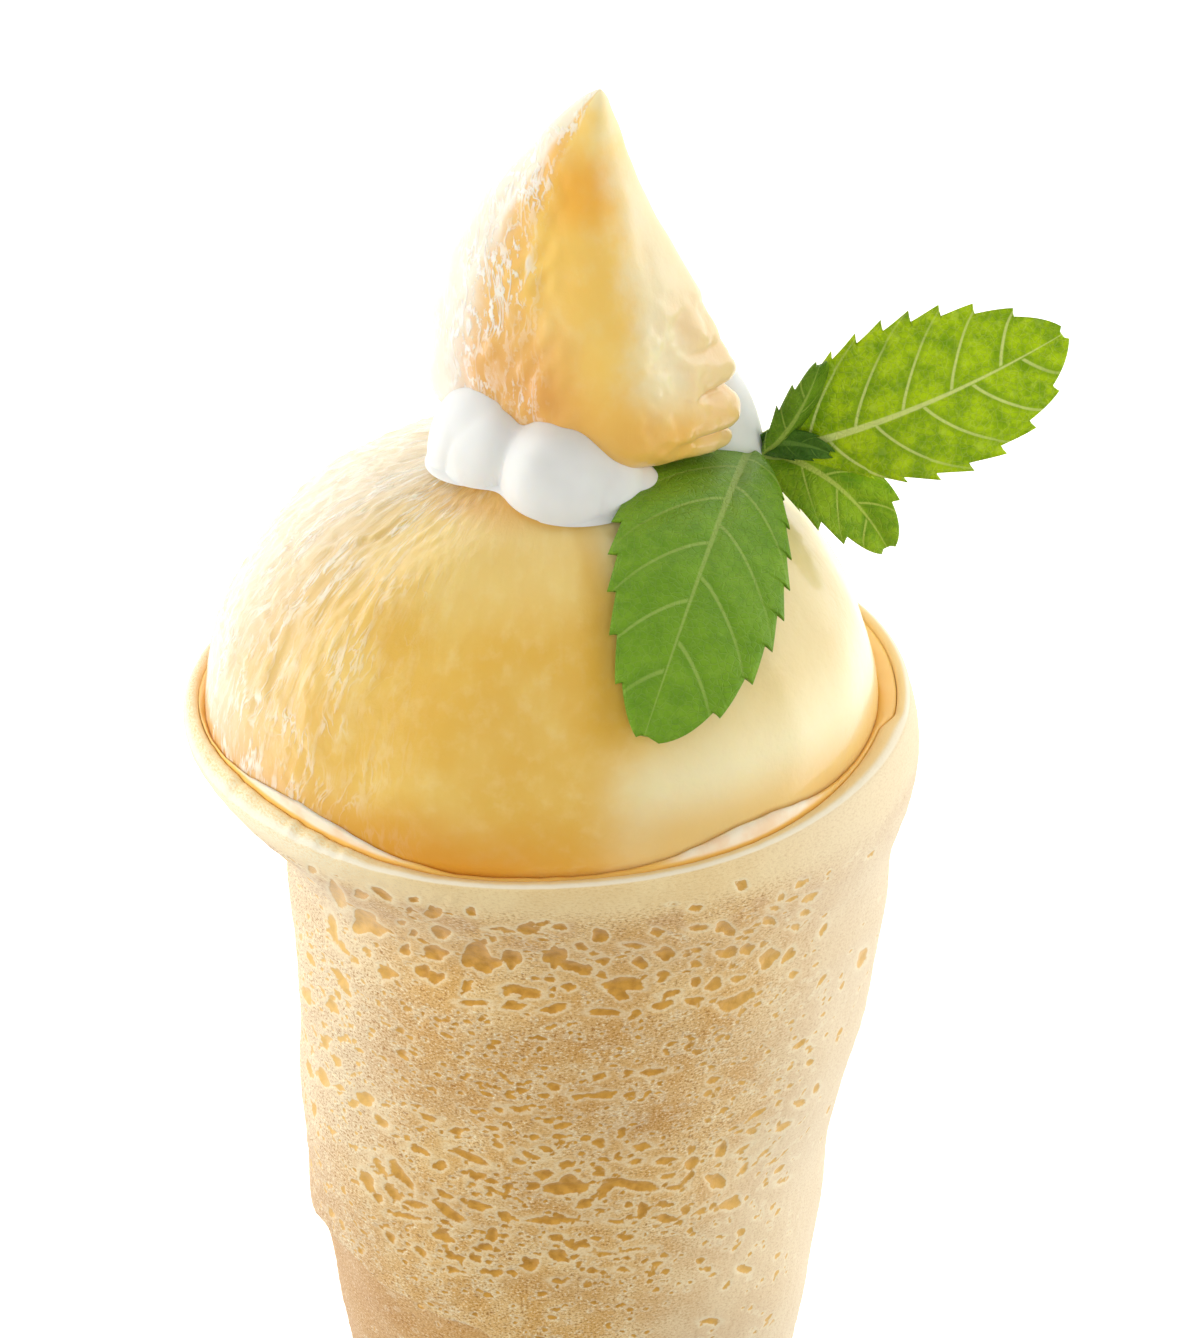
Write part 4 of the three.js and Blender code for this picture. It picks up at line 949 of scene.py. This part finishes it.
def mint_finish(name, dark, bright, vein, pairs, broad):
    """Green blade with a pale midrib that narrows to the tip, thin side veins that bend towards the tip,
    and a fine net between them. broad is the wider side's reach in mm."""
    finish = Finish(name, roughness=0.45, subsurface_weight=0.1)
    finish.constant("Subsurface Radius", (0.002, 0.003, 0.001))
    finish.constant("Specular IOR Level", 0.3)
    s, out, _ = finish.parts(finish.place("UV"))
    off = abs(out) * 10.0
    aside = off / broad
    along = (s - 0.16 * aside - 0.15 * aside * aside) * float(pairs) + 0.2 * out.maths("SIGN", out)
    nearest = abs(along - along.maths("ROUND", along))
    fading = aside.share(0.9, 0.3)
    side_vein = nearest.share(0.05, 0.015) * (0.25 + 0.75 * fading)
    side_vein = side_vein * off.share(0.1, 0.4) * s.share(1.0, 0.85)
    midrib = (off + 0.5 * s).share(0.62, 0.42)
    net = finish.node("ShaderNodeTexVoronoi", {"feature": "DISTANCE_TO_EDGE"},
                      {"Vector": finish.place(), "Scale": 1300.0}, "Distance").share(0.12, 0.02)
    blotch = finish.noise(finish.place(), 320.0, 5.0, 0.75)
    shade = finish.mix(blotch.share(0.32, 0.66), dark, bright)
    shade = finish.mix(net * 0.1, shade, vein)
    # painted shade: darker green beside the side veins
    shade = finish.mix(nearest.share(0.22, 0.05) * 0.5 * fading, shade, dark)
    shade = finish.mix((side_vein * 0.75).most(midrib * 0.85), shade, vein)
    finish.vary("Base Color", shade)
    height = nearest.least(0.25) * 2.0 * off.share(0.2, 2.0) - 0.2 * net + 0.2 * blotch
    finish.vary("Normal", finish.bump(height, 0.0005, 0.6))
    return finish


leaf("mint_leaf_front", NODE, (21, -17, 36), (11.6, -36.7, 15), (0.94, -0.12, -0.26),
     ((11.4, 0.4, 0.66), (10.1, 1.1, 0.56)), -1.4, 11, 0.1, 0.5,
     mint_finish("mint_shaded", (104, 148, 30), (124, 166, 38), (158, 184, 86), 6, 11.6))
leaf("mint_leaf_right", (26.6, 6.2, 28), (42, 1, 34), (58.4, 0, 45.6), (-0.33, 0.45, 0.82),
     ((8.8, 1.2, 0.75), (10.2, 0.7, 0.7)), 1.2, 10, 0.13, 0.5,
     mint_finish("mint_lit", (122, 164, 0), (190, 222, 10), (230, 240, 146), 6, 10.8))
leaf("mint_leaf_small", NODE, (34.5, 3, 28), (39.9, 2, 17.8), (0.6, 0.35, 0.7),
     ((5.2, 0.5, 0.6), (5.2, 0.5, 0.6)), 0.7, 5, 0.2, 0.3,
     mint_finish("mint_small", (104, 148, 16), (152, 188, 28), (196, 212, 96), 4, 4.8))
leaf("mint_leaf_young", NODE, (29, 4, 31), (33, 3, 29.4), (0, 0.3, 0.95),
     ((1.8, 0.5, 0.6), (1.8, 0.5, 0.6)), 0.5, 4, 0.1, 0.2,
     mint_finish("mint_young", (56, 98, 26), (82, 124, 38), (110, 148, 60), 3, 1.8))
# the folded leaf: darker greens as painted shade
leaf("mint_leaf_folded", (25.4, 6.2, 28), (29, 3.5, 32), (31.4, 3.2, 40.4), (0.9, 0.3, -0.3),
     ((1.9, 0.6, 0.6), (3.6, 0.6, 0.5)), 0.8, 4, 0.25, 0.2,
     mint_finish("mint_folded_shaded", (84, 124, 20), (116, 156, 34), (160, 186, 80), 3, 2.8))

# the stem: a round rod along the cubic through its four knots
STEM_RADIUS = 0.9
stem_knots = np.array([(15.5, 9, 33.2), (20.5, 8.4, 31.2), NODE, (27.8, 6.2, 27.4)])
t = np.linspace(0, 3, 40)
route = np.stack([np.polyval(np.polyfit(range(4), stem_knots[:, axis], 3), t) for axis in range(3)], -1)
ahead = np.gradient(route, axis=0)
ahead /= np.linalg.norm(ahead, axis=1, keepdims=True)
first = np.cross(ahead, (0, 0, 1.0))
first /= np.linalg.norm(first, axis=1, keepdims=True)
second = np.cross(ahead, first)
angle = np.linspace(0, 2 * np.pi, 21)[None, :-1, None]
stem_grid = route[:, None] + STEM_RADIUS * (np.cos(angle) * first[:, None] + np.sin(angle) * second[:, None])
mint_stem = skin("mint_stem", lay_down(*np.moveaxis(stem_grid, -1, 0)), start=lay_down(*route[0]),
                 end=lay_down(*route[-1]))
finish = Finish("mint_stem", roughness=0.45)
cloud = finish.noise(finish.place(), 300.0).share(0.4, 0.65)
finish.vary("Base Color", finish.mix(cloud, (140, 166, 70), (170, 186, 96)))
add_piece(mint_stem, finish, "mint_sprig")

# ---- the table, the light and the camera ----
# A plain white table. Two large soft lights low on either side and a weak one overhead.
TABLE_REACH, TABLE_WHITE, TABLE_GLOW, SKY_GLOW = 3, 0.93, 0.85, 0.2
table_mesh = bpy.data.meshes.new("table")
table_corners = [(x * TABLE_REACH, y * TABLE_REACH, 0) for x, y in ((-1, -1), (1, -1), (1, 1), (-1, 1))]
table_mesh.from_pydata(table_corners, [], [(0, 1, 2, 3)])
table = bpy.data.objects.new("table", table_mesh)
bpy.context.scene.collection.objects.link(table)
finish = Finish("table_white", roughness=0.9)
finish.constant("Base Color", (TABLE_WHITE, TABLE_WHITE, TABLE_WHITE, 1))
finish.constant("Emission Color", (1, 1, 1, 1))
finish.constant("Emission Strength", TABLE_GLOW)
finish.cover(table)

# name, place (m), turn (degrees), width (m) and power (W)
for name, place, turn, size, power in (
        ("left_light", (-0.5, 0.12, 0.2), (0, -68, 0), 0.5, 1.9),
        ("right_light", (0.5, 0.08, 0.2), (0, 68, 0), 0.5, 1.5),
        ("top_light", (0.0, 0.25, 1.0), (0, 0, 0), 1.0, 4.2)):
    lamp = bpy.data.lights.new(name, "AREA")
    lamp.size, lamp.energy = size, power
    holder = bpy.data.objects.new(name, lamp)
    holder.location = place
    holder.rotation_euler = np.radians(turn)
    holder.visible_glossy = False
    bpy.context.scene.collection.objects.link(holder)

scene = bpy.context.scene
scene.view_settings.view_transform = "Standard"
scene.world = bpy.data.worlds.new("studio")
scene.world.use_nodes = True
sky = scene.world.node_tree.nodes["Background"].inputs
sky["Color"].default_value = (1, 1, 1, 1)
sky["Strength"].default_value = SKY_GLOW

# the camera stands where the pits' places are seen from, and looks at the middle of the view
lens = bpy.data.cameras.new("camera")
lens.sensor_fit, lens.sensor_height, lens.lens = "VERTICAL", 36, 115
lens.clip_start, lens.clip_end = 0.02, 20
camera = bpy.data.objects.new("camera", lens)
camera.location = lay_down(EYE_RIGHT, EYE_UP * np.sin(EYE_RISE) - EYE_FAR * np.cos(EYE_RISE),
                           EYE_UP * np.cos(EYE_RISE) + EYE_FAR * np.sin(EYE_RISE))
camera.rotation_euler = (LEAN - EYE_RISE, 0, 0)
scene.collection.objects.link(camera)
scene.camera = camera

bpy.context.view_layer.update()
